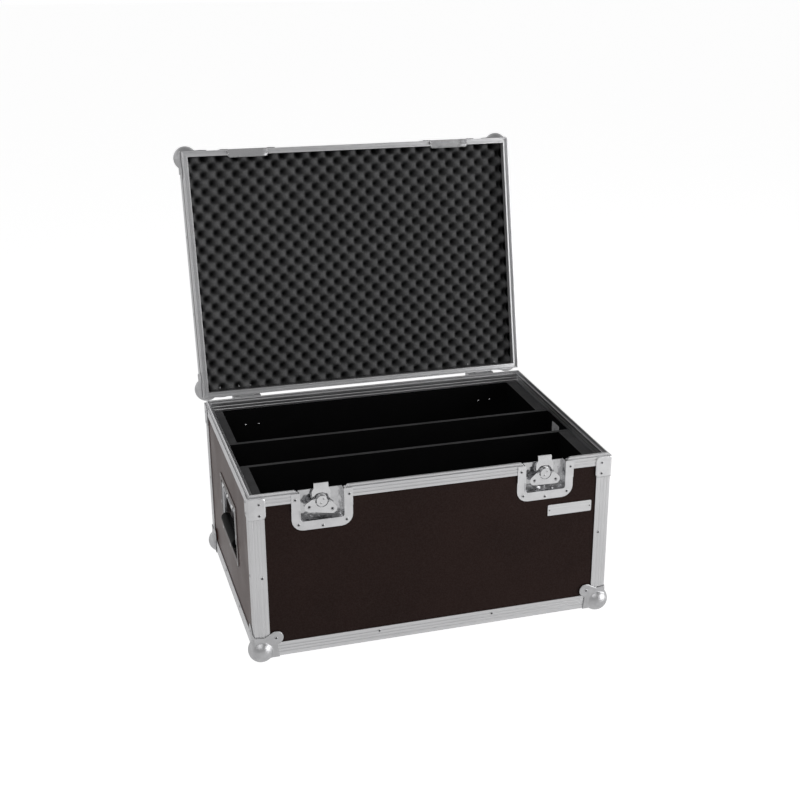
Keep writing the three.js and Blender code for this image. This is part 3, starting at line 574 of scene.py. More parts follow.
class Palette:
    """Builds each finish once and hands it out."""

    def __init__(self) -> None:
        """Starts with the shared groups and no material."""
        self.effects = Effects()
        self.made: dict[Look, Material] = {}

    def get(self, look: Look) -> Material:
        """The material of a finish, built when it is first asked for.

        Args:
            look: the finish.

        Returns:
            Its material.
        """
        if look not in self.made:
            self.made[look] = FINISHES[look].build(look.value, self.effects)
        return self.made[look]


@dataclass(frozen=True)
class Place:
    """Where a sub-assembly's own millimetres lie in the row frame."""

    matrix: Matrix

    def point(self, x: float, y: float, z: float) -> Vector:
        """A point in metres in the row frame."""
        return self.matrix @ Vector((x * MM, y * MM, z * MM))

    def direction(self, x: float, y: float, z: float) -> Vector:
        """A direction in the row frame."""
        return (self.matrix.to_3x3() @ Vector((x, y, z))).normalized()

    def moved(self, x: float, y: float, z: float, turn_z: float = 0.0) -> "Place":
        """A place further on in this one, turned about its upright axis in degrees."""
        shift = Matrix.Translation((x * MM, y * MM, z * MM))
        return Place(self.matrix @ shift @ Matrix.Rotation(math.radians(turn_z), 4, "Z"))


@dataclass(frozen=True)
class CaseSizes:
    """Sizes that several sub-assemblies share, in millimetres."""

    width: float = 700.0
    depth: float = 505.0
    height: float = 326.0
    lid_height: float = 60.0
    fit: float = 0.3
    angle_skin: float = 1.8
    board: float = 7.0
    rivet_inset: float = 19.0
    hinge_axis_out: float = 6.5
    latch_x: float = 216.0

    @property
    def half_x(self) -> float:
        """Half the width."""
        return self.width / 2

    @property
    def half_y(self) -> float:
        """Half the depth."""
        return self.depth / 2

    @property
    def board_outer(self) -> float:
        """How far a board's face lies in from the angle's face."""
        return self.angle_skin + self.fit

    @property
    def board_inner(self) -> float:
        """How far a board's inner face lies in from the angle's face."""
        return self.board_outer + self.board


SIZES = CaseSizes()


def case_place() -> Place:
    """The body's place: origin under the middle of the body, on its lower face."""
    low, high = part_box("bottom_edge_frame")
    return Place(Matrix.Translation(((low.x + high.x) / 2, (low.y + high.y) / 2, low.z)))


def lid_place() -> Place:
    """The shut lid's place, turned open: x across, y back and z up from the closing plane.

    Returns:
        The place.
    """
    joint = next(j for j in frame["joints"] if j["name"] == "lid_hinge")
    opened = Matrix.Rotation(-math.radians(joint["range_deg"][1]), 4, "X")
    back = Matrix.Translation((0, -(SIZES.half_y + SIZES.hinge_axis_out) * MM, 0))
    return Place(Matrix.Translation(joint["pos_m"]) @ opened @ back)


def sheet_object(name: str, mesh: BMesh, materials: Sequence[Material],
                 sharp_degrees: float = 38.0) -> Piece:
    """Turns a mesh under construction into a linked object with smooth faces and sharp creases.

    Args:
        name: the object's name.
        mesh: the mesh, which is freed.
        materials: its material slots.
        sharp_degrees: creases above this stay sharp.

    Returns:
        The object.
    """
    smooth_but(mesh, sharp_degrees)
    data = bpy.data.meshes.new(name)
    mesh.to_mesh(data)
    mesh.free()
    for material in materials:
        data.materials.append(material)
    return linked(name, data)


def smooth_but(mesh: BMesh, sharp_degrees: float) -> None:
    """Makes every face smooth and every crease above an angle sharp.

    Args:
        mesh: the mesh.
        sharp_degrees: the angle.
    """
    for face in mesh.faces:
        face.smooth = True
    for edge in mesh.edges:
        edge.smooth = not (edge.is_manifold and edge.calc_face_angle(0.0) > math.radians(sharp_degrees))


def linked(name: str, data: bpy.types.ID) -> Piece:
    """A new object in the scene.

    Args:
        name: its name.
        data: its mesh, curve, lamp or camera.

    Returns:
        The object.
    """
    made = bpy.data.objects.new(name, data)
    bpy.context.scene.collection.objects.link(made)
    return made


def mark_run(mesh: BMesh) -> None:
    """Gives each face coordinates along its longest edge and across it, in metres.

    Args:
        mesh: the mesh that gets the map.
    """
    layer = mesh.loops.layers.uv.new(RUN_MAP)
    for face in mesh.faces:
        edge = max(face.edges, key=lambda e: e.calc_length())
        along = edge.verts[1].co - edge.verts[0].co
        if along.length < 1e-7:
            continue
        along.normalize()
        if along.dot(RUN_TILT) < 0:
            along.negate()
        across = face.normal.cross(along)
        for loop in face.loops:
            loop[layer].uv = (loop.vert.co.dot(along), loop.vert.co.dot(across))


def mark_wear(mesh: BMesh, worn: Iterable[BMFace]) -> None:
    """Marks faces that rub, so that their finish can show it.

    Args:
        mesh: the mesh.
        worn: its rounded edges' faces.
    """
    layer = mesh.faces.layers.float.new(WEAR)
    for face in worn:
        if face.is_valid:
            face[layer] = 1.0


def settle(piece: Piece, body: str, slot: str, *nodes: str) -> None:
    """Hands a finished piece to its body and hides the solids that it replaces.

    Args:
        piece: the piece.
        body: the body that carries it.
        slot: the record's material slot; not used.
        nodes: the solids that it replaces.
    """
    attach(piece, body)
    if nodes:
        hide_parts(*nodes)
    log.info("%s rides on %s", piece.name, body)


def arc_points(x: float, y: float, radius: float, start: float, end: float, steps: int) -> list[Point2]:
    """Points of an arc, both ends included, in degrees."""
    angles = [math.radians(start + (end - start) * i / steps) for i in range(steps + 1)]
    return [(x + radius * math.cos(a), y + radius * math.sin(a)) for a in angles]


def sides_of(outline: Sequence[Point2]) -> Iterator[tuple[Point2, Point2]]:
    """Both ends of each side of a closed outline."""
    return zip(outline, [*outline[1:], outline[0]])


def inside(point: Point2, outline: Sequence[Point2]) -> bool:
    """Says whether a point lies in an outline.

    Args:
        point: the point.
        outline: the outline's corners.

    Returns:
        True where it does.
    """
    x, y = point
    crossed = [(y0 > y) != (y1 > y) and x < x0 + (x1 - x0) * (y - y0) / (y1 - y0)
               for (x0, y0), (x1, y1) in sides_of(outline)]
    return sum(crossed) % 2 == 1


def divided(outline: Sequence[Point2], step: float) -> list[Point2]:
    """An outline with its long sides cut into steps of at most one size.

    Args:
        outline: the outline's corners.
        step: the longest side that is left.

    Returns:
        The finer outline.
    """
    points: list[Point2] = []
    for (x0, y0), (x1, y1) in sides_of(outline):
        count = max(1, math.ceil(math.hypot(x1 - x0, y1 - y0) / step))
        points += [(x0 + (x1 - x0) * i / count, y0 + (y1 - y0) * i / count) for i in range(count)]
    return points


def filled(outline: Sequence[Point2], step: float) -> tuple[list[Point2], list[list[int]]]:
    """Fills an outline with small even triangles.

    Args:
        outline: the outline's corners.
        step: the triangles' size.

    Returns:
        The points and the triangles.
    """
    rim = divided(outline, step)
    (left, right), (low, high) = ((min(values), max(values)) for values in zip(*rim))
    grid: list[Point2] = []
    for row in range(1, math.ceil((high - low) / (step * ROW_STEP))):
        for column in range(math.ceil((right - left) / step) + 1):
            point = (left + (column + 0.5 * (row % 2)) * step, low + row * step * ROW_STEP)
            if inside(point, rim) and min(math.dist(point, corner) for corner in rim) > step * FILL_GAP:
                grid.append(point)
    edges = [(i, (i + 1) % len(rim)) for i in range(len(rim))]
    points, _, faces, *_ = delaunay_2d_cdt([Vector(p) for p in rim + grid], edges, [], 1, 1e-4)
    return [(p.x, p.y) for p in points], [list(f) for f in faces]


@dataclass(frozen=True)
class Corner:
    """One corner of the body or lid, taken as that of a box that fills x, y, z > 0."""

    place: Place
    signs: tuple[int, int, int]
    height: float

    def spot(self, x: float, y: float, z: float) -> Point3:
        """A point of that box in its place's millimetres."""
        across, back, up = self.signs
        return (across * (SIZES.half_x - x), back * (SIZES.half_y - y), self.height + up * z)

    def point(self, at: Vector) -> Vector:
        """A point of that box in the row frame."""
        return self.place.point(*self.spot(*at))


def upright_corners() -> Iterator[tuple[str, int, int]]:
    """Goes round the upright corners.

    Yields:
        The name's ending and the signs of x and y at each.
    """
    for end, back in (("front", -1), ("back", 1)):
        for side in Side:
            yield f"{end}_{side.label}", side.value, back


@dataclass(frozen=True)
class PressedCap:
    """A cap of sheet metal pressed over an edge or corner of a box that fills x, y, z > 0."""

    outline: Sequence[Point2]
    stand_off: float
    faces: int
    edge_radius: float = 2.2
    sheet: float = 1.2
    step: float = 1.6
    ball_radius: float = 0.0
    ball_inset: float = 0.0
    crease: float = 1.2
    flat: float = 0.0
    weld: float = 0.01
    inner: float = 20.0
    sharp_degrees: float = 60.0

    def shaped(self, point: Vector) -> Vector:
        """Moves a point of the bare box on to the rounded edge and the ball.

        Args:
            point: the point, in millimetres.

        Returns:
            Its place on the pressing.
        """
        core = self.edge_radius - self.stand_off
        nearest = Vector([max(v, core) if axis < self.faces else v for axis, v in enumerate(point)])
        away = point - nearest
        if away.length > 1e-6:
            point = nearest + away.normalized() * self.edge_radius
        if self.ball_radius:
            centre = Vector((self.ball_inset,) * 3)
            out = point - centre
            gap = max(self.crease - abs(out.length - self.ball_radius), 0.0) / self.crease
            reach = max(out.length, self.ball_radius) + gap * gap * self.crease / 4
            point = centre + out.normalized() * reach
        if self.flat:
            point.z = max(point.z, -self.flat)
        return point

    def build(self, name: str, corner: Corner, material: Material) -> Piece:
        """Makes the cap.

        Args:
            name: the piece's name.
            corner: where it sits.
            material: its finish.

        Returns:
            The piece.
        """
        points, triangles = filled(self.outline, self.step)
        mesh = bmesh.new()
        for axis in range(self.faces):
            spots = [(*p[:axis], -self.stand_off, *p[axis:]) for p in points]
            made = [mesh.verts.new(self.shaped(Vector(spot))) for spot in spots]
            for triangle in triangles:
                mesh.faces.new([made[i] for i in triangle])
        bmesh.ops.remove_doubles(mesh, verts=mesh.verts, dist=self.weld)
        middle = Vector((self.inner, self.inner, self.inner if self.faces == 3 else -self.inner))
        mesh.normal_update()
        wrong = [f for f in mesh.faces if f.normal.dot(f.calc_center_median() - middle) < 0]
        bmesh.ops.reverse_faces(mesh, faces=wrong)
        for vertex in mesh.verts:
            vertex.co = corner.point(vertex.co)
        if math.prod(corner.signs) < 0:
            bmesh.ops.reverse_faces(mesh, faces=mesh.faces)
        piece = sheet_object(name, mesh, [material], self.sharp_degrees)
        thick = piece.modifiers.new("sheet", "SOLIDIFY")
        thick.thickness = self.sheet * MM
        thick.offset = -1.0
        return piece


class ShapeTree(Tree):
    """A geometry tree with named inputs, run on a mesh and baked."""

    KINDS = {float: NUMBER, int: "NodeSocketInt", Material: "NodeSocketMaterial"}

    def __init__(self, name: str, inputs: dict[str, object]) -> None:
        """Starts the tree.

        Args:
            name: the tree's name.
            inputs: the value of each input by its name.
        """
        group = bpy.data.node_groups.new(name, "GeometryNodeTree")
        for way in ("INPUT", "OUTPUT"):
            group.interface.new_socket("Geometry", in_out=way, socket_type="NodeSocketGeometry")
        for label, value in inputs.items():
            group.interface.new_socket(label, in_out="INPUT", socket_type=self.KINDS[type(value)])
        super().__init__(group)
        self.inputs = inputs
        self.given = self.node("NodeGroupInput").outputs

    def position(self) -> bpy.types.NodeOutputs:
        """The x, y and z of a point."""
        return self.node("ShaderNodeSeparateXYZ", {0: self.node("GeometryNodeInputPosition")}).outputs

    def marked(self, shape: object, name: str, value: Socket) -> bpy.types.Node:
        """Stores a number on each point under a name."""
        inputs = {"Geometry": shape, "Name": name, "Value": value}
        return self.node("GeometryNodeStoreNamedAttribute", inputs, data_type="FLOAT", domain="POINT")

    def moved(self, shape: object, x: Socket, y: Socket, z: Socket) -> bpy.types.Node:
        """Sets each point of a shape to a place."""
        return self.node("GeometryNodeSetPosition", {"Geometry": shape, "Position": self.xyz(x, y, z)})

    def copies(self, shape: object) -> bpy.types.Node:
        """Sets a shape on each point of the mesh, turned and sized as the point says.

        Args:
            shape: the shape.

        Returns:
            The node that holds the copies.
        """
        facing, size = (self.node("GeometryNodeInputNamedAttribute", {"Name": name}, data_type=kind)
                        for name, kind in ((FACING, "FLOAT_VECTOR"), (SIZE, "FLOAT")))
        turned = self.node("FunctionNodeAlignRotationToVector", {"Vector": facing}, axis="Z")
        return self.node("GeometryNodeInstanceOnPoints", {
            "Points": self.given["Geometry"], "Instance": shape, "Rotation": turned, "Scale": size})

    def end(self, shape: object) -> None:
        """Makes the shape real and gives it its finish.

        Args:
            shape: the shape or its copies.
        """
        real = self.node("GeometryNodeRealizeInstances", {"Geometry": shape})
        smooth = self.node("GeometryNodeSetShadeSmooth", {"Geometry": real})
        done = self.node("GeometryNodeSetMaterial", {"Geometry": smooth, "Material": self.given["Finish"]})
        self.node("NodeGroupOutput", {"Geometry": done})

    def bake(self, name: str, data: bpy.types.Mesh) -> Piece:
        """Runs the tree on a mesh and keeps the result as a plain mesh.

        Args:
            name: the piece's name.
            data: the mesh that the tree starts from.

        Returns:
            The piece, with no modifier.
        """
        piece = linked(name, data)
        modifier = piece.modifiers.new("tree", "NODES")
        modifier.node_group = self.tree
        for item in self.tree.interface.items_tree:
            if item.in_out == "INPUT" and item.name in self.inputs:
                modifier[item.identifier] = self.inputs[item.name]
        bpy.context.view_layer.update()
        evaluated = piece.evaluated_get(bpy.context.evaluated_depsgraph_get())
        plain = bpy.data.meshes.new_from_object(evaluated)
        piece.modifiers.remove(modifier)
        piece.data = plain
        return piece


def point_mesh(name: str, spots: Sequence[tuple[Vector, Vector, float]]) -> bpy.types.Mesh:
    """A mesh of loose points.

    Args:
        name: its name.
        spots: each point with its facing and size.

    Returns:
        The mesh.
    """
    data = bpy.data.meshes.new(name)
    data.from_pydata([point for point, _, _ in spots], [], [])
    facings = [v for _, facing, _ in spots for v in facing]
    data.attributes.new(FACING, "FLOAT_VECTOR", "POINT").data.foreach_set("vector", facings)
    data.attributes.new(SIZE, "FLOAT", "POINT").data.foreach_set("value", [size for _, _, size in spots])
    return data


@dataclass(frozen=True)
class HeadSizes:
    """Sizes of one kind of rivet head: its dome, hollow, sunk base and the painted shade along its rim."""

    radius: float = 3.3
    height: float = 1.3
    hole_share: float = 0.54
    hole_depth: float = 1.1
    sink: float = 0.9
    rim_shade: float = 0.75


BOSS_RIVET = HeadSizes(2.4, 0.5, 0.3, 0.4, 0.3, 0.9)
# painted shade: flat discs with dark centres and rims stand for the holes in the latch wing's lobes
WING_HOLE_SHADE = HeadSizes(3.3, 0.15, 0.6, 0.4, 0.3, 1.0)
BACK_NUT = HeadSizes(2.6, 1.6, 0.3, 0.3, 0.5)
EYELET = HeadSizes(6.0, 0.9, 0.62, 1.7, 0.5)


@dataclass
class RivetField:
    """Blind rivets of one body, set on points by a geometry tree."""

    name: str
    body: str
    head: HeadSizes = HeadSizes()
    look: Look = Look.RIVET
    hole_edge: Point2 = (0.9, 1.4)
    seam_from: float = 0.975
    segments: int = 14
    rings: int = 12
    points: list[tuple[Vector, Vector, float]] = field(default_factory=list)

    def add(self, place: Place, spot: Sequence[float], facing: Sequence[float], size: float = 1.0) -> None:
        """Adds one rivet by its spot and outward facing in a place and its share of a full size."""
        self.points.append((place.point(*spot), place.direction(*facing), size))

    def tree(self, inputs: dict[str, object]) -> ShapeTree:
        """A domed head with a hollow, copied to each point.

        Args:
            inputs: the value of each of the tree's inputs by its name.

        Returns:
            The tree.
        """
        tree = ShapeTree(self.name + "_tree", inputs)
        given = tree.given
        ball = tree.node("GeometryNodeMeshUVSphere", {
            "Segments": self.segments, "Rings": self.rings, "Radius": given["Head Radius"]})
        x, y, z = tree.position()
        flat = tree.math("SQRT", tree.plus(tree.times(x, x), tree.times(y, y)))
        share = tree.math("DIVIDE", flat, given["Head Radius"], clamp=True)
        dome = tree.math("SQRT", tree.math("SUBTRACT", 1.0, tree.times(share, share), clamp=True))
        edge = [tree.times(given["Hole Share"], factor) for factor in self.hole_edge]
        hollow = tree.spread(share, *edge, 1.0, 0.0)
        top = tree.minus(tree.times(dome, given["Head Height"]), tree.times(hollow, given["Hole Depth"]))
        upper = tree.math("GREATER_THAN", z, -0.000001)
        height = tree.pick(upper, top, tree.times(given["Sink"], -1.0))
        # painted shade: the head's lower ring and its hollow are marked, and the rivet finish colours them
        # dark
        seam_shade = tree.times(tree.math("GREATER_THAN", share, self.seam_from), given["Rim Shade"])
        marked = tree.marked(ball, HOLE_SHADE, tree.math("MAXIMUM", tree.times(hollow, upper), seam_shade))
        tree.end(tree.copies(tree.moved(marked, x, y, height)))
        return tree

    def build(self, palette: Palette) -> None:
        """Makes the rivets as one plain mesh on their body.

        Args:
            palette: the finishes.
        """
        head = self.head
        tree = self.tree({
            "Head Radius": head.radius * MM, "Head Height": head.height * MM, "Hole Share": head.hole_share,
            "Hole Depth": head.hole_depth * MM, "Sink": head.sink * MM, "Rim Shade": head.rim_shade,
            "Finish": palette.get(self.look)})
        piece = tree.bake(self.name, point_mesh(self.name + "_points", self.points))
        settle(piece, self.body, "zinc_steel")


@dataclass(frozen=True)
class Kit:
    """What every sub-assembly builds with: the finishes, both places and each body's rivets."""

    palette: Palette
    case: Place
    lid: Place
    rivets: dict[str, RivetField]

    def copy(self, node: str, name: str, owner: tuple[str, str], width: float, looks: Sequence[Look],
             segments: int = 2, choose: Callable[[BMFace], int] | None = None) -> None:
        """Puts a copy in a solid's place, with its flat faces joined and its edges rounded.

        Args:
            node: the solid's name.
            name: the new piece's name.
            owner: the body that carries the piece and the record's material slot.
            width: the rounding's width, in millimetres.
            looks: the piece's finishes.
            segments: faces across the rounding.
            choose: gives a face's finish by number; all faces take the first if it is left out.
        """
        mesh = bmesh.new()
        mesh.from_mesh(frame["nodes"][node].data)
        bmesh.ops.remove_doubles(mesh, verts=mesh.verts, dist=MERGE_MM * MM)
        flat, above = math.radians(FLAT_DEGREES), math.radians(ROUND_ABOVE)
        bmesh.ops.dissolve_limit(mesh, angle_limit=flat, verts=mesh.verts, edges=mesh.edges)
        sharp = [e for e in mesh.edges if e.is_manifold and e.calc_face_angle() > above]
        made = bmesh.ops.bevel(mesh, geom=sharp, offset=width * MM, offset_type="OFFSET", segments=segments,
                               profile=0.5, affect="EDGES", clamp_overlap=True)
        mesh.normal_update()
        mark_wear(mesh, made["faces"])
        mark_run(mesh)
        if choose:
            for face in mesh.faces:
                face.material_index = choose(face)
        piece = sheet_object(name, mesh, [self.palette.get(look) for look in looks])
        weighted = piece.modifiers.new("even_normals", "WEIGHTED_NORMAL")
        weighted.keep_sharp = True
        weighted.weight = NORMAL_WEIGHT
        settle(piece, *owner, node)


@dataclass(frozen=True)
class BallCorners:
    """Eight pressed ball corners: four feet on the body and four on the lid."""

    ball_radius: float = 24.5
    ball_inset: float = 12.5
    crease: float = 1.6
    plate: float = 1.5
    leg: float = 45.0
    neck: float = 42.0
    neck_height: float = 20.0
    throat: float = 17.0
    ear: float = 39.5
    ear_radius: float = 13.5
    rivet_in: float = 0.5

    def build(self, kit: Kit) -> None:
        """Makes the eight corners and their rivet points.

        Args:
            kit: what it builds with.
        """
        edge = -SIZES.fit - self.plate
        outline = [(edge, edge), (self.leg, edge), (self.neck, self.neck_height),
                   *arc_points(self.ear, self.ear, self.ear_radius, -80, 130, 16), (self.throat, self.neck),
                   (edge, self.leg)]
        lift = kit.case.point(0, 0, 0).z / MM
        kinds = (("foot", "case", kit.case, 0.0, 1, lift),
                 ("lid", "lid", kit.lid, SIZES.lid_height, -1, 0.0))
        for label, across, back in upright_corners():
            for kind, body, place, height, up, flat in kinds:
                cap = PressedCap(outline, -edge, 3, ball_radius=self.ball_radius,
                                 ball_inset=self.ball_inset, crease=self.crease, flat=flat)
                corner = Corner(place, (across, back, up), height)
                node = f"{kind}_corner_{label}"
                piece = cap.build(node + "_cap", corner, kit.palette.get(Look.CORNER))
                settle(piece, body, "zinc_steel", node)
                for axis in (1, 0, 2):
                    spot, facing = [self.ear - self.rivet_in] * 3, [0.0] * 3
                    spot[axis], facing[axis] = edge, (across, back, -up)[axis]
                    kit.rivets[body].add(place, corner.spot(*spot), facing)


@dataclass(frozen=True)
class Boards:
    """Laminated boards of the body and lid, brown outside and black inside."""

    rounding: float = 0.25
    inward_share: float = 0.7
    lid_middle: float = 20.0
    upright_share: float = 0.5

    def build(self, kit: Kit) -> None:
        """Makes every board.

        Args:
            kit: what it builds with.
        """
        looks = (Look.LAMINATE, Look.LINING)
        facing = {"front": (0, 1, 0), "back": (0, -1, 0), "left": (1, 0, 0), "right": (-1, 0, 0),
                  "bottom": (0, 0, 1), "lid_top": (0, 0, -1)}
        for board, way in facing.items():
            body, place = ("lid", kit.lid) if board == "lid_top" else ("case", kit.case)
            node = f"{board}_panel"

            def choose(face: BMFace, inward: Vector = place.direction(*way)) -> int:
                """Black on the inner face."""
                return int(face.normal.dot(inward) > self.inward_share)

            kit.copy(node, node + "_board", (body, "laminate"), self.rounding, looks, 1, choose)
        middle, up = kit.lid.point(0, 0, self.lid_middle), kit.lid.direction(0, 0, 1)

        def wall(face: BMFace) -> int:
            """Black on the faces that look at the lid's middle."""
            return int(face.normal.dot(middle - face.calc_center_median()) > 0
                       and abs(face.normal.dot(up)) < self.upright_share)

        kit.copy("lid_wall_frame", "lid_wall_boards", ("lid", "laminate"), self.rounding, looks, 1, wall)


@dataclass(frozen=True)
class Profiles:
    """Ribbed aluminium angle and the closure extrusions."""

    rounding: float = 0.3

    def build(self, kit: Kit) -> None:
        """Makes every profile.

        Args:
            kit: what it builds with.
        """
        body = [f"edge_{label}" for label, _, _ in upright_corners()]
        body += ["bottom_edge_frame", "base_rim", "base_rim_front_middle"]
        lid = ["lid_edge_frame", "lid_rim", "lid_rim_front_middle"]
        for owner, nodes in (("case", body), ("lid", lid)):
            for node in nodes:
                kit.copy(node, node + "_profile", (owner, "aluminium"), self.rounding, [Look.ALUMINIUM])


@dataclass(frozen=True)
class Braces:
    """Sheet braces riveted over the body's upper corners."""

    width: float = 31.0
    height: float = 43.0
    plate: float = 1.2
    radius: float = 8.0
    edge_radius: float = 1.8
    sheet: float = 1.0
    step: float = 2.2
    rivet_drops: Point2 = (12.6, 35.0)

    def build(self, kit: Kit) -> None:
        """Makes the four braces and their rivet points.

        Args:
            kit: what it builds with.
        """
        edge, r, inset = -SIZES.fit - self.plate, self.radius, SIZES.rivet_inset
        outline = [(edge, -self.height), *arc_points(self.width - r, r - self.height, r, -90, 0, 6),
                   *arc_points(self.width - r, -r, r, 0, 90, 6), (edge, 0.0)]
        cap = PressedCap(outline, -edge, 2, self.edge_radius, self.sheet, self.step)
        for label, across, back in upright_corners():
            corner = Corner(kit.case, (across, back, 1), SIZES.height)
            node = f"corner_brace_{label}"
            piece = cap.build(node + "_cap", corner, kit.palette.get(Look.PRESSED))
            settle(piece, "case", "zinc_steel", node)
            for drop in self.rivet_drops:
                kit.rivets["case"].add(kit.case, corner.spot(inset, edge, -drop), (0, back, 0))
                kit.rivets["case"].add(kit.case, corner.spot(edge, inset, -drop), (across, 0, 0))


@dataclass(frozen=True)
class Latch:
    """One recessed latch: pressed dish, claw, cam and folding wing."""

    side: Side
    axis_drop: float = 21.4
    dish_rounding: float = 0.5
    well_depth: float = 1.2
    part_roundings: tuple[tuple[str, float], ...] = (("claw", 0.3), ("cam", 0.35), ("wing", 0.45))
    rivet_spots: tuple[Point2, ...] = (
        (-49.7, -12.3), (49.7, -12.3), (-44.5, -63.3), (44.5, -63.3), (0.0, -69.4))
    joggle: float = 34.0
    rivet_depths: Point2 = (0.6, -1.5)
    boss_spots: tuple[Point2, ...] = ((3.0, 4.0), (-2.3, -4.0))
    boss_depth: float = 0.5
    wing_tilt: Point2 = (10.4, 1.6)
    lobe: Point2 = (21.5, 13.8)
    lobe_depth: float = 2.1

    def build(self, kit: Kit) -> None:
        """Makes the latch and its rivets.

        Args:
            kit: what it builds with.
        """
        label, out = self.side.label, (0, -1, 0)
        place = kit.case.moved(self.side.value * SIZES.latch_x, -SIZES.half_y, SIZES.height)
        behind = place.point(0, self.well_depth, 0).y

        def choose(face: BMFace) -> int:
            """Glossier and darker in the well than on the flange; the darker colour is painted shade."""
            return int(face.calc_center_median().y > behind)

        kit.copy(f"latch_dish_{label}", f"latch_pan_{label}", ("case", "zinc_steel"), self.dish_rounding,
                 (Look.PRESSED, Look.PAN), 3, choose)
        for part, width in self.part_roundings:
            node = f"latch_{part}_{label}"
            kit.copy(node, node + "_plated", (node, "zinc_steel"), width, [Look.BRIGHT])
        for x, z in self.rivet_spots:
            kit.rivets["case"].add(place, (x, self.rivet_depths[z >= -self.joggle], z), out)
        boss = RivetField(f"latch_boss_rivets_{label}", f"latch_cam_{label}", BOSS_RIVET)
        for x, z in self.boss_spots:
            boss.add(place, (x, self.boss_depth, z - self.axis_drop), out)
        boss.build(kit.palette)
        tilt = math.radians(self.wing_tilt[self.side is Side.RIGHT])
        # painted shade for the wing's holes, set on its two lobes
        wing_hole_shades = RivetField(f"latch_wing_plugs_{label}", f"latch_wing_{label}", WING_HOLE_SHADE)
        reach, fall = self.lobe
        for x in (-reach, reach):
            across = x * math.cos(tilt) - fall * math.sin(tilt)
            drop = -x * math.sin(tilt) - fall * math.cos(tilt)
            wing_hole_shades.add(place, (across, self.lobe_depth, drop - self.axis_drop), out)
        wing_hole_shades.build(kit.palette)


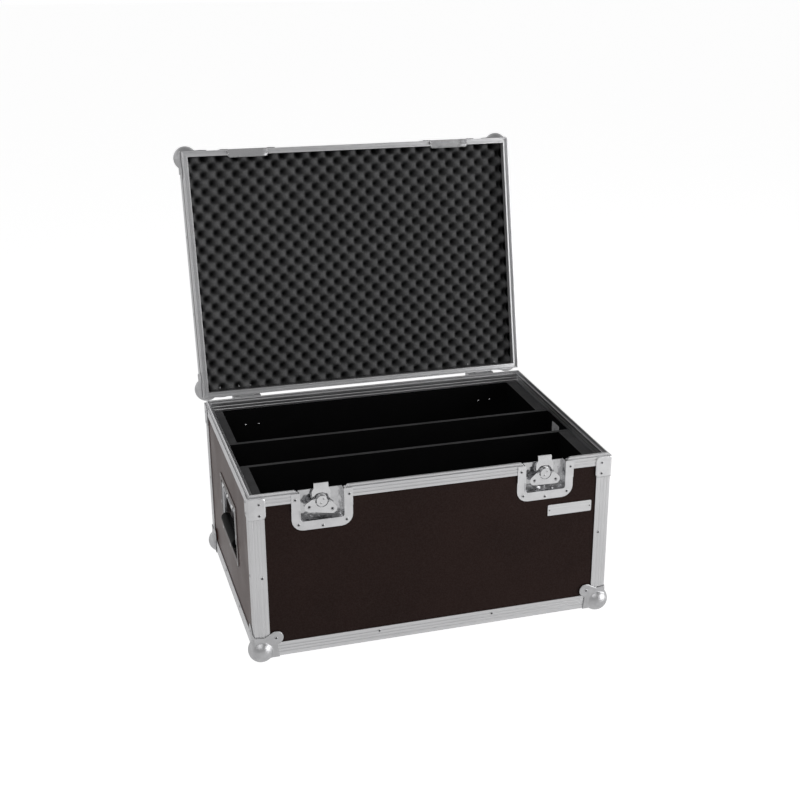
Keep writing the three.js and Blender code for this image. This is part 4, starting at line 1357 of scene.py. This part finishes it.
@dataclass(frozen=True)
class Handle:
    """One recessed sprung handle: dish, bail, grip and coil springs."""

    side: Side
    centre: float = 174.0
    axis_depth: float = 4.5
    axis_height: float = 46.0
    bail_radius: float = 4.0
    bail_half: float = 73.0
    bail_drop: float = 72.0
    bend_radius: float = 11.0
    end_radius: float = 1.0
    bail_sides: int = 16
    grip_radius: float = 10.5
    grip_half: float = 66.0
    grip_sides: int = 28
    grip_end: tuple[Point2, ...] = ((0.0, -5.4), (0.0, -2.2), (0.8, -0.9), (2.4, -0.3))
    swell: float = 0.3
    swell_from: float = 5.0
    swell_steps: int = 6
    coil_radius: float = 5.0
    wire_radius: float = 0.75
    coil_turns: float = 11.0
    coil_length: float = 30.0
    coil_at: float = 29.0
    coil_steps: int = 14
    wire_sides: int = 6
    dish_rounding: float = 0.6
    flange: Point2 = (92.0, 64.0)
    rivet_in: float = 6.0
    rivet_depth: float = 0.6
    lip: float = 4.0
    loop_reach: float = 62.0
    loop_height: float = 7.5
    loop_depth: float = 12.0
    wall_share: float = 0.7

    def bail_line(self) -> list[Point2]:
        """The bail's closed centreline as (along, up), with round bends.

        Returns:
            Its points.
        """
        low, high, y = self.axis_height - self.bail_drop, self.axis_height, self.bail_half
        r, e = self.bend_radius, self.end_radius
        return [*arc_points(-y + r, low + r, r, 180, 270, 6), *arc_points(y - r, low + r, r, 270, 360, 6),
                *arc_points(y - e, high - e, e, 0, 90, 2), *arc_points(e - y, high - e, e, 90, 180, 2)]

    def bail(self, place: Place, name: str, material: Material) -> Piece:
        """The bail, a round bar.

        Args:
            place: the handle's place.
            name: the piece's name.
            material: its finish.

        Returns:
            The piece.
        """
        line = [place.point(self.axis_depth, y, z) for y, z in self.bail_line()]
        curve = bpy.data.curves.new(name, "CURVE")
        curve.dimensions = "3D"
        curve.bevel_depth = self.bail_radius * MM
        curve.bevel_resolution = self.bail_sides // 4
        spline = curve.splines.new("POLY")
        spline.points.add(len(line) - 1)
        for spot, point in zip(spline.points, line):
            spot.co = (*point, 1.0)
        spline.use_cyclic_u = True
        shape = linked(name + "_line", curve)
        bpy.context.view_layer.update()
        mesh = bmesh.new()
        mesh.from_mesh(bpy.data.meshes.new_from_object(shape))
        bpy.data.objects.remove(shape)
        bmesh.ops.remove_doubles(mesh, verts=mesh.verts, dist=0.02 * MM)
        bmesh.ops.recalc_face_normals(mesh, faces=mesh.faces)
        mark_run(mesh)
        return sheet_object(name, mesh, [material])

    def grip(self, place: Place, name: str, material: Material) -> Piece:
        """The moulded grip, swelling slightly to its middle, with a rolled end at each side.

        Args:
            place: the handle's place.
            name: the piece's name.
            material: its finish.

        Returns:
            The piece.
        """
        low, half, r = self.axis_height - self.bail_drop, self.grip_half, self.grip_radius
        section = [(inward - half, r + out) for inward, out in self.grip_end]
        for i in range(self.swell_steps + 1):
            share = i / self.swell_steps
            section.append((-half + self.swell_from + (half - self.swell_from) * share,
                            r - self.swell + self.swell * math.sin(math.pi * share / 2)))
        section += [(-y, reach) for y, reach in reversed(section[:-1])]
        mesh = bmesh.new()
        rings = []
        for y, reach in section:
            turn = arc_points(self.axis_depth, low, reach, 0, 360, self.grip_sides)[:-1]
            rings.append([mesh.verts.new(place.point(out, y, up)) for out, up in turn])
        for first, second in zip(rings, rings[1:] + rings[:1]):
            for i in range(self.grip_sides):
                j = (i + 1) % self.grip_sides
                mesh.faces.new((first[i], first[j], second[j], second[i]))
        bmesh.ops.recalc_face_normals(mesh, faces=mesh.faces)
        return sheet_object(name, mesh, [material])

    def springs(self, place: Place, name: str, material: Material) -> Piece:
        """Two coil springs on the hinge bar, between the loops.

        Args:
            place: the handle's place.
            name: the piece's name.
            material: its finish.

        Returns:
            The piece.
        """
        tree = ShapeTree("spring_tree", {
            "Coil Radius": self.coil_radius * MM, "Wire Radius": self.wire_radius * MM,
            "Turns": self.coil_turns, "Length": self.coil_length * MM, "Finish": material})
        given = tree.given
        coil = tree.node("GeometryNodeCurveSpiral", {
            "Resolution": self.coil_steps, "Rotations": given["Turns"], "Height": given["Length"],
            "Start Radius": given["Coil Radius"], "End Radius": given["Coil Radius"]})
        wire = tree.node("GeometryNodeCurvePrimitiveCircle", {
            "Resolution": self.wire_sides, "Radius": given["Wire Radius"]}, mode="RADIUS")
        ends = {"Curve": coil, "Profile Curve": wire, "Fill Caps": True}
        tree.end(tree.copies(tree.node("GeometryNodeCurveToMesh", ends)))
        starts = [at - self.coil_length / 2 for at in (-self.coil_at, self.coil_at)]
        along = place.direction(0, 1, 0)
        spots = [(place.point(self.axis_depth, y, self.axis_height), along, 1.0) for y in starts]
        return tree.bake(name, point_mesh("spring_points", spots))

    def build(self, kit: Kit) -> None:
        """Makes the handle and its rivet points.

        Args:
            kit: what it builds with.
        """
        label, body = self.side.label, f"handle_{self.side.label}"
        turn = 0.0 if self.side is Side.LEFT else 180.0
        place = kit.case.moved(self.side.value * SIZES.half_x, 0, self.centre, turn)
        back = place.matrix.inverted()
        turned = back.to_3x3().normalized()

        def choose(face: BMFace) -> int:
            """Dark on the flange, painted shade on the well's walls, bright on the loops and plain zinc on
            the floor.

            Args:
                face: a face of the dish.

            Returns:
                The number of its finish.
            """
            out, along, height = (back @ face.calc_center_median()) / MM
            near = abs(along) < self.loop_reach and abs(height - self.axis_height) < self.loop_height
            if near and out < self.loop_depth:
                return 2
            # the flange is dark, and the well's walls take the same dark finish as painted shade
            return int(out < self.lip or abs((turned @ face.normal).x) < self.wall_share)

        kit.copy(f"handle_dish_{label}", f"handle_pan_{label}", ("case", "zinc_steel"), self.dish_rounding,
                 (Look.PRESSED, Look.DARK_FLANGE_AND_SHADE, Look.BRIGHT), 3, choose)
        wire = kit.palette.get(Look.WIRE)
        settle(self.bail(place, f"handle_bow_{label}", wire), body, "zinc_steel", f"handle_bail_{label}")
        grip = self.grip(place, f"handle_sleeve_{label}", kit.palette.get(Look.GRIP))
        settle(grip, body, "grip", f"handle_grip_{label}")
        settle(self.springs(place, f"handle_springs_{label}", wire), "case", "zinc_steel")
        y, z = (half - self.rivet_in for half in self.flange)
        for spot in ((-y, z), (0, z), (y, z), (-y, -z), (0, -z), (y, -z), (-y, 0), (y, 0)):
            kit.rivets["case"].add(place, (self.rivet_depth, *spot), (-1, 0, 0))


@dataclass(frozen=True)
class StayHinges:
    """Two hinges with stay cheeks, their pins and rivets."""

    x: float = 260.0
    plate_outer: float = -4.2
    rounding: float = 0.3
    rows: Point2 = (-60.0, -34.0)
    lid_rows: Point2 = (24.0, 36.0)
    columns: Point3 = (-19.0, 0.0, 19.0)

    def build(self, kit: Kit) -> None:
        """Makes the hinges and their rivet points.

        Args:
            kit: what it builds with.
        """
        y = SIZES.half_y + SIZES.hinge_axis_out + self.plate_outer
        parts = (("case_leaf", "case", Look.CORNER), ("pin", "case", Look.WIRE),
                 ("lid_leaf", "lid", Look.CORNER))
        for side in Side:
            for part, body, look in parts:
                node = f"hinge_{part}_{side.label}"
                kit.copy(node, node + "_plated", (body, "zinc_steel"), self.rounding, [look])
            for column in self.columns:
                x = side.value * self.x + column
                for row in self.rows:
                    kit.rivets["case"].add(kit.case, (x, y, SIZES.height + row), (0, 1, 0))
                for row in self.lid_rows:
                    kit.rivets["lid"].add(kit.lid, (x, y, row), (0, 1, 0))


@dataclass(frozen=True)
class EggCrate:
    """Foam pad of the lid with staggered round peaks."""

    back: float = 50.6
    valley: float = 43.0
    peak: float = 20.6
    margin: float = 0.5
    half_cell: Point2 = (16.5, 16.9)
    first_peak: Point2 = (7.0, -0.5)
    steps: int = 6
    steepness: float = 0.6
    fullness: float = 0.6
    sharp_degrees: float = 65.0
    fill: float = 0.85

    def inputs(self, material: Material) -> dict[str, object]:
        """The tree's inputs by name.

        Args:
            material: the foam's finish.

        Returns:
            The inputs.
        """
        given = {"Back": self.back * MM, "Valley": self.valley * MM, "Peak": self.peak * MM,
                 "Steepness": self.steepness, "Fullness": self.fullness, "Finish": material}
        sides = (SIZES.width, SIZES.depth)
        for axis, side, cell, peak in zip("XY", sides, self.half_cell, self.first_peak):
            size = side - 2 * (SIZES.board_inner + self.margin)
            step = cell / self.steps
            given |= {f"Size {axis}": size * MM, f"Cell {axis}": cell * MM, f"Peak {axis}": peak * MM,
                      f"Step {axis}": step * MM, f"Shift {axis}": (peak - round(peak / step) * step) * MM,
                      f"Count {axis}": 2 * int(size / step / 2) + 1}
        return given

    def tree(self, inputs: dict[str, object]) -> ShapeTree:
        """A fine block whose face rises in staggered peaks.

        Args:
            inputs: the value of each of the tree's inputs by its name.

        Returns:
            The tree.
        """
        tree = ShapeTree("egg_crate_tree", inputs)
        given = tree.given
        spans = [tree.times(given[f"Step {axis}"], tree.minus(given[f"Count {axis}"], 1.0))
                 for axis in "XY"]
        block = tree.node("GeometryNodeMeshCube", {
            "Size": tree.xyz(*spans, 1.0), "Vertices X": given["Count X"], "Vertices Y": given["Count Y"],
            "Vertices Z": 2})
        *flat, z = tree.position()
        placed, waves = [], []
        for axis, value, span in zip("XY", flat, spans):
            step = given[f"Step {axis}"]
            inner = tree.plus(tree.minus(tree.times(span, 0.5), step), tree.times(step, 0.5))
            border = tree.math("GREATER_THAN", tree.math("ABSOLUTE", value), inner)
            edge = tree.times(tree.math("SIGN", value), tree.times(given[f"Size {axis}"], 0.5))
            place = tree.pick(border, edge, tree.plus(value, given[f"Shift {axis}"]))
            turn = tree.math("DIVIDE", tree.minus(place, given[f"Peak {axis}"]), given[f"Cell {axis}"])
            placed.append(place)
            waves.append(tree.math("COSINE", tree.times(turn, math.pi)))
        wave = tree.times(*waves)
        steep = tree.times(tree.math("SIGN", wave),
                           tree.math("POWER", tree.math("ABSOLUTE", wave), given["Steepness"]))
        share = tree.math("POWER", tree.times(tree.plus(steep, 1.0), 0.5), given["Fullness"])
        face = tree.plus(given["Valley"], tree.times(share, tree.minus(given["Peak"], given["Valley"])))
        height = tree.pick(tree.math("LESS_THAN", z, 0.0), face, given["Back"])
        # the rise is kept on the mesh so that the foam's finish can paint shade into the pits
        tree.end(tree.moved(tree.marked(block, RISE, share), *placed, height))
        return tree

    def build(self, kit: Kit) -> None:
        """Makes the pad.

        Args:
            kit: what it builds with.
        """
        tree = self.tree(self.inputs(kit.palette.get(Look.FOAM)))
        piece = tree.bake("lid_egg_crate", bpy.data.meshes.new("pad_start"))
        mesh = bmesh.new()
        mesh.from_mesh(piece.data)
        mesh.transform(kit.lid.matrix)
        smooth_but(mesh, self.sharp_degrees)
        mesh.to_mesh(piece.data)
        mesh.free()
        settle(piece, "lid", "foam", "lid_foam")


@dataclass(frozen=True)
class Inside:
    """Dividers, lining blocks, the nuts inside the back board and the eyelet plate on the right wall."""

    rounding: float = 0.5
    upward_share: float = 0.5
    nut_spots: tuple[Point2, ...] = ((-269.0, 270.0), (-241.0, 270.0), (251.0, 270.0), (277.0, 270.0))
    eye: Point2 = (6.0, 278.0)
    eye_sheet: float = 1.4
    eye_rounding: float = 0.4

    def build(self, kit: Kit) -> None:
        """Makes the inner boards, nuts and eyelet plate.

        Args:
            kit: what it builds with.
        """
        nodes = ["front_divider", "rear_divider"]
        nodes += [f"lining_{end}_{side.label}" for side in Side for end in ("front", "rear")]

        def choose(face: BMFace) -> int:
            """Grey on the upper edge."""
            return int(face.normal.z > self.upward_share)

        for node in nodes:
            kit.copy(node, node + "_board", ("case", "lining"), self.rounding,
                     (Look.LINING, Look.BOARD_EDGE), 2, choose)
        nuts = RivetField("back_nuts", "case", BACK_NUT, Look.BRIGHT)
        for x, z in self.nut_spots:
            nuts.add(kit.case, (x, SIZES.half_y - SIZES.board_inner, z), (0, -1, 0))
        nuts.build(kit.palette)
        kit.copy("eye_plate_right", "eye_plate_pressed", ("case", "zinc_steel"), self.eye_rounding,
                 [Look.TIN])
        face = SIZES.half_x - SIZES.board_inner - SIZES.fit - self.eye_sheet
        eye = RivetField("eyelet", "case", EYELET)
        eye.add(kit.case, (face, *self.eye), (-1, 0, 0))
        eye.build(kit.palette)


@dataclass(frozen=True)
class Fittings:
    """Bare nameplate and the lid's catch dishes."""

    plate_at: Point2 = (268.5, 225.5)
    plate_half: float = 41.5
    plate_sheet: float = 1.2
    plate_rounding: float = 0.25
    plate_rivet: float = 0.6
    catch_rounding: float = 0.5
    catch_rivets: Point2 = (-49.0, 49.0)
    catch_out: float = 1.5
    catch_height: float = 20.0

    def build(self, kit: Kit) -> None:
        """Makes the fittings and their rivet points.

        Args:
            kit: what it builds with.
        """
        kit.copy("nameplate", "nameplate_bare", ("case", "aluminium"), self.plate_rounding, [Look.PLATE])
        x, z = self.plate_at
        y = SIZES.board_outer - SIZES.fit - self.plate_sheet - SIZES.half_y
        for side in Side:
            spot = (x + side.value * self.plate_half, y, z)
            kit.rivets["case"].add(kit.case, spot, (0, -1, 0), self.plate_rivet)
            node = f"lid_catch_{side.label}"
            kit.copy(node, node + "_plated", ("lid", "zinc_steel"), self.catch_rounding, [Look.BRIGHT], 3)
            for across in self.catch_rivets:
                x_rivet, y_rivet = side.value * SIZES.latch_x + across, -SIZES.half_y - self.catch_out
                kit.rivets["lid"].add(kit.lid, (x_rivet, y_rivet, self.catch_height), (0, -1, 0))


@dataclass(frozen=True)
class ProfileRivets:
    """Rivets along the aluminium angle of the body and lid."""

    upright_height: float = 165.0
    bottom_rise: float = 1.0
    long_spots: Point2 = (-113.0, 113.0)
    short_spots: Point2 = (-80.0, 80.0)
    lid_wall_height: float = 41.0
    rim_spots: tuple[float, ...] = (-315.0, -275.0, -251.0, 232.0, 294.0)
    rim_sink: float = 0.2
    rim_rivet: float = 0.45

    def angle(self, kit: Kit, spot: Point2, edge: Point2, out: Point3) -> None:
        """Four rivets at one place along the angles: two on the body's lower one and two on the lid's.

        Args:
            kit: what it builds with.
            spot: x and y on the outer face.
            edge: x and y on the lower or upper face.
            out: the outer face's direction.
        """
        body, top, low = kit.rivets["case"], kit.rivets["lid"], SIZES.rivet_inset + self.bottom_rise
        body.add(kit.case, (*spot, low), out)
        body.add(kit.case, (*edge, 0), (0, 0, -1))
        top.add(kit.lid, (*spot, self.lid_wall_height), out)
        top.add(kit.lid, (*edge, SIZES.lid_height), (0, 0, 1))

    def build(self, kit: Kit) -> None:
        """Adds the points.

        Args:
            kit: what it builds with.
        """
        half_x, half_y, inset, upright = SIZES.half_x, SIZES.half_y, SIZES.rivet_inset, self.upright_height
        for sy in (-1, 1):
            for sx in (-1, 1):
                kit.rivets["case"].add(kit.case, (sx * (half_x - inset), sy * half_y, upright), (0, sy, 0))
                kit.rivets["case"].add(kit.case, (sx * half_x, sy * (half_y - inset), upright), (sx, 0, 0))
            for x in self.long_spots:
                self.angle(kit, (x, sy * half_y), (x, sy * (half_y - inset)), (0, sy, 0))
        for x in self.rim_spots:
            kit.rivets["lid"].add(kit.lid, (x, half_y - inset, self.rim_sink), (0, 0, -1), self.rim_rivet)
        for sx in (-1, 1):
            for y in self.short_spots:
                self.angle(kit, (sx * half_x, y), (sx * (half_x - inset), y), (sx, 0, 0))


@dataclass(frozen=True)
class Lamp:
    """A soft square lamp: where it hangs, what it lights, its side in metres and its watts."""

    name: str
    at: Point3
    aim: Point3
    size: float
    power: float

    def build(self) -> None:
        """Hangs the lamp."""
        data = bpy.data.lights.new(self.name, "AREA")
        data.size, data.energy = self.size, self.power
        lamp = linked(self.name, data)
        lamp.location = self.at
        lamp.rotation_euler = (Vector(self.aim) - Vector(self.at)).to_track_quat("-Z", "Y").to_euler()


@dataclass(frozen=True)
class Studio:
    """White sweep, soft lamps and the camera at the photograph's viewing angle."""

    lens: float = 61.86
    sensor: float = 36.0
    shift: Point2 = (-0.0968, 0.0617)
    camera_at: Point3 = (-0.69104, -2.55196, 1.35599)
    camera_reach: float = 60.0
    yaw: float = 19.1514
    pitch: float = 22.5543
    roll: float = 0.9404
    world_light: float = 0.13
    zenith: float = 0.4
    zenith_band: Point2 = (0.15, 0.8)
    behind_camera: float = 0.35
    behind_band: Point2 = (-0.7, 0.3)
    floor_colour: Colour = (0.5, 0.5, 0.5)
    floor_roughness: float = 0.9
    floor_specular: float = 0.1
    floor_glow: float = 0.9
    floor_size: float = 14.0
    gloss_share: float = 0.6
    lamps: tuple[Lamp, ...] = (Lamp("key", (2.6, -1.95, 0.7), (0, 0.1, 0.5), 2.3, 72.0),
                               Lamp("fill", (-1.1, -1.9, 2.6), (0, 0, 0.4), 2.2, 27.0))

    def camera(self) -> None:
        """Sets the camera."""
        yaw, pitch, roll = (math.radians(v) for v in (self.yaw, self.pitch, self.roll))
        ahead = Vector((math.sin(yaw) * math.cos(pitch), math.cos(yaw) * math.cos(pitch), -math.sin(pitch)))
        right = Vector((math.cos(yaw), -math.sin(yaw), 0))
        up = right.cross(ahead)
        across = right * math.cos(roll) + up * math.sin(roll)
        upward = up * math.cos(roll) - right * math.sin(roll)
        data = bpy.data.cameras.new("camera")
        data.lens, data.sensor_width, data.clip_end = self.lens, self.sensor, self.camera_reach
        data.shift_x, data.shift_y = self.shift
        camera = linked("camera", data)
        turned = Matrix([(*row, 0.0) for row in zip(across, upward, -ahead)] + [(0, 0, 0, 1)])
        camera.matrix_world = Matrix.Translation(self.camera_at) @ turned
        bpy.context.scene.camera = camera

    @staticmethod
    def seen(tree: Tree, in_gloss: Callable[[Socket], Socket]) -> Socket:
        """One where the camera sees a surface straight on or through glass, and less in gloss.

        Args:
            tree: the material's or world's tree.
            in_gloss: gives the value in gloss from the mark of a glossy ray.

        Returns:
            The value's socket.
        """
        path = tree.node("ShaderNodeLightPath").outputs
        plain = tree.math("MAXIMUM", path["Is Camera Ray"], path["Is Transmission Ray"])
        return tree.math("MAXIMUM", plain, in_gloss(path["Is Glossy Ray"]))

    def floor(self) -> None:
        """Sets the pale floor, which keeps the object's shadow."""
        material = bpy.data.materials.new("studio_floor")
        material.use_nodes = True
        tree = Tree(material.node_tree)
        glow = tree.times(self.seen(tree, lambda ray: tree.times(ray, self.gloss_share)), self.floor_glow)
        looks = {"Base Color": with_alpha(self.floor_colour), "Roughness": self.floor_roughness,
                 "Specular IOR Level": self.floor_specular, "Emission Color": (1, 1, 1, 1),
                 "Emission Strength": glow}
        for name, value in looks.items():
            tree.feed(material.node_tree.nodes["Principled BSDF"].inputs[name], value)
        mesh = bmesh.new()
        bmesh.ops.create_grid(mesh, x_segments=2, y_segments=2, size=self.floor_size)
        floor = sheet_object("studio_floor", mesh, [material])

    def world(self) -> None:
        """Sets the surround: white to the camera, to gloss white at the back and greyer elsewhere."""
        world = bpy.data.worlds.new("studio")
        bpy.context.scene.world = world
        world.use_nodes = True
        tree = Tree(world.node_tree)
        way = tree.node("ShaderNodeSeparateXYZ", {0: tree.node("ShaderNodeTexCoord").outputs["Generated"]})
        _, back, up = way.outputs
        room = tree.times(tree.spread(up, *self.zenith_band, 1.0, self.zenith),
                          tree.spread(back, *self.behind_band, self.behind_camera, 1.0))
        seen = self.seen(tree, lambda ray: tree.times(ray, room))
        shader = world.node_tree.nodes["Background"]
        tree.feed(shader.inputs["Color"], (1, 1, 1, 1))
        tree.feed(shader.inputs["Strength"], tree.math("MAXIMUM", seen, self.world_light))

    def build(self) -> None:
        """Sets the whole studio."""
        bpy.context.scene.view_settings.view_transform = "Standard"
        self.camera()
        self.floor()
        self.world()
        for lamp in self.lamps:
            lamp.build()


def main() -> None:
    """Builds the looks in order."""
    logging.basicConfig(level=logging.INFO, format="%(name)s: %(message)s")
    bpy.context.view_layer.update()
    rivets = {body: RivetField(f"{body}_rivets", body) for body in ("case", "lid")}
    kit = Kit(Palette(), case_place(), lid_place(), rivets)
    Studio().build()
    fittings = [part for side in Side for part in (Latch(side), Handle(side))]
    parts = (Boards(), Profiles(), BallCorners(), Braces(), *fittings, StayHinges(), Fittings(),
             Inside(), EggCrate(), ProfileRivets())
    for part in parts:
        part.build(kit)
    for rivet_field in rivets.values():
        rivet_field.build(kit.palette)


if __name__ == "__main__":
    main()
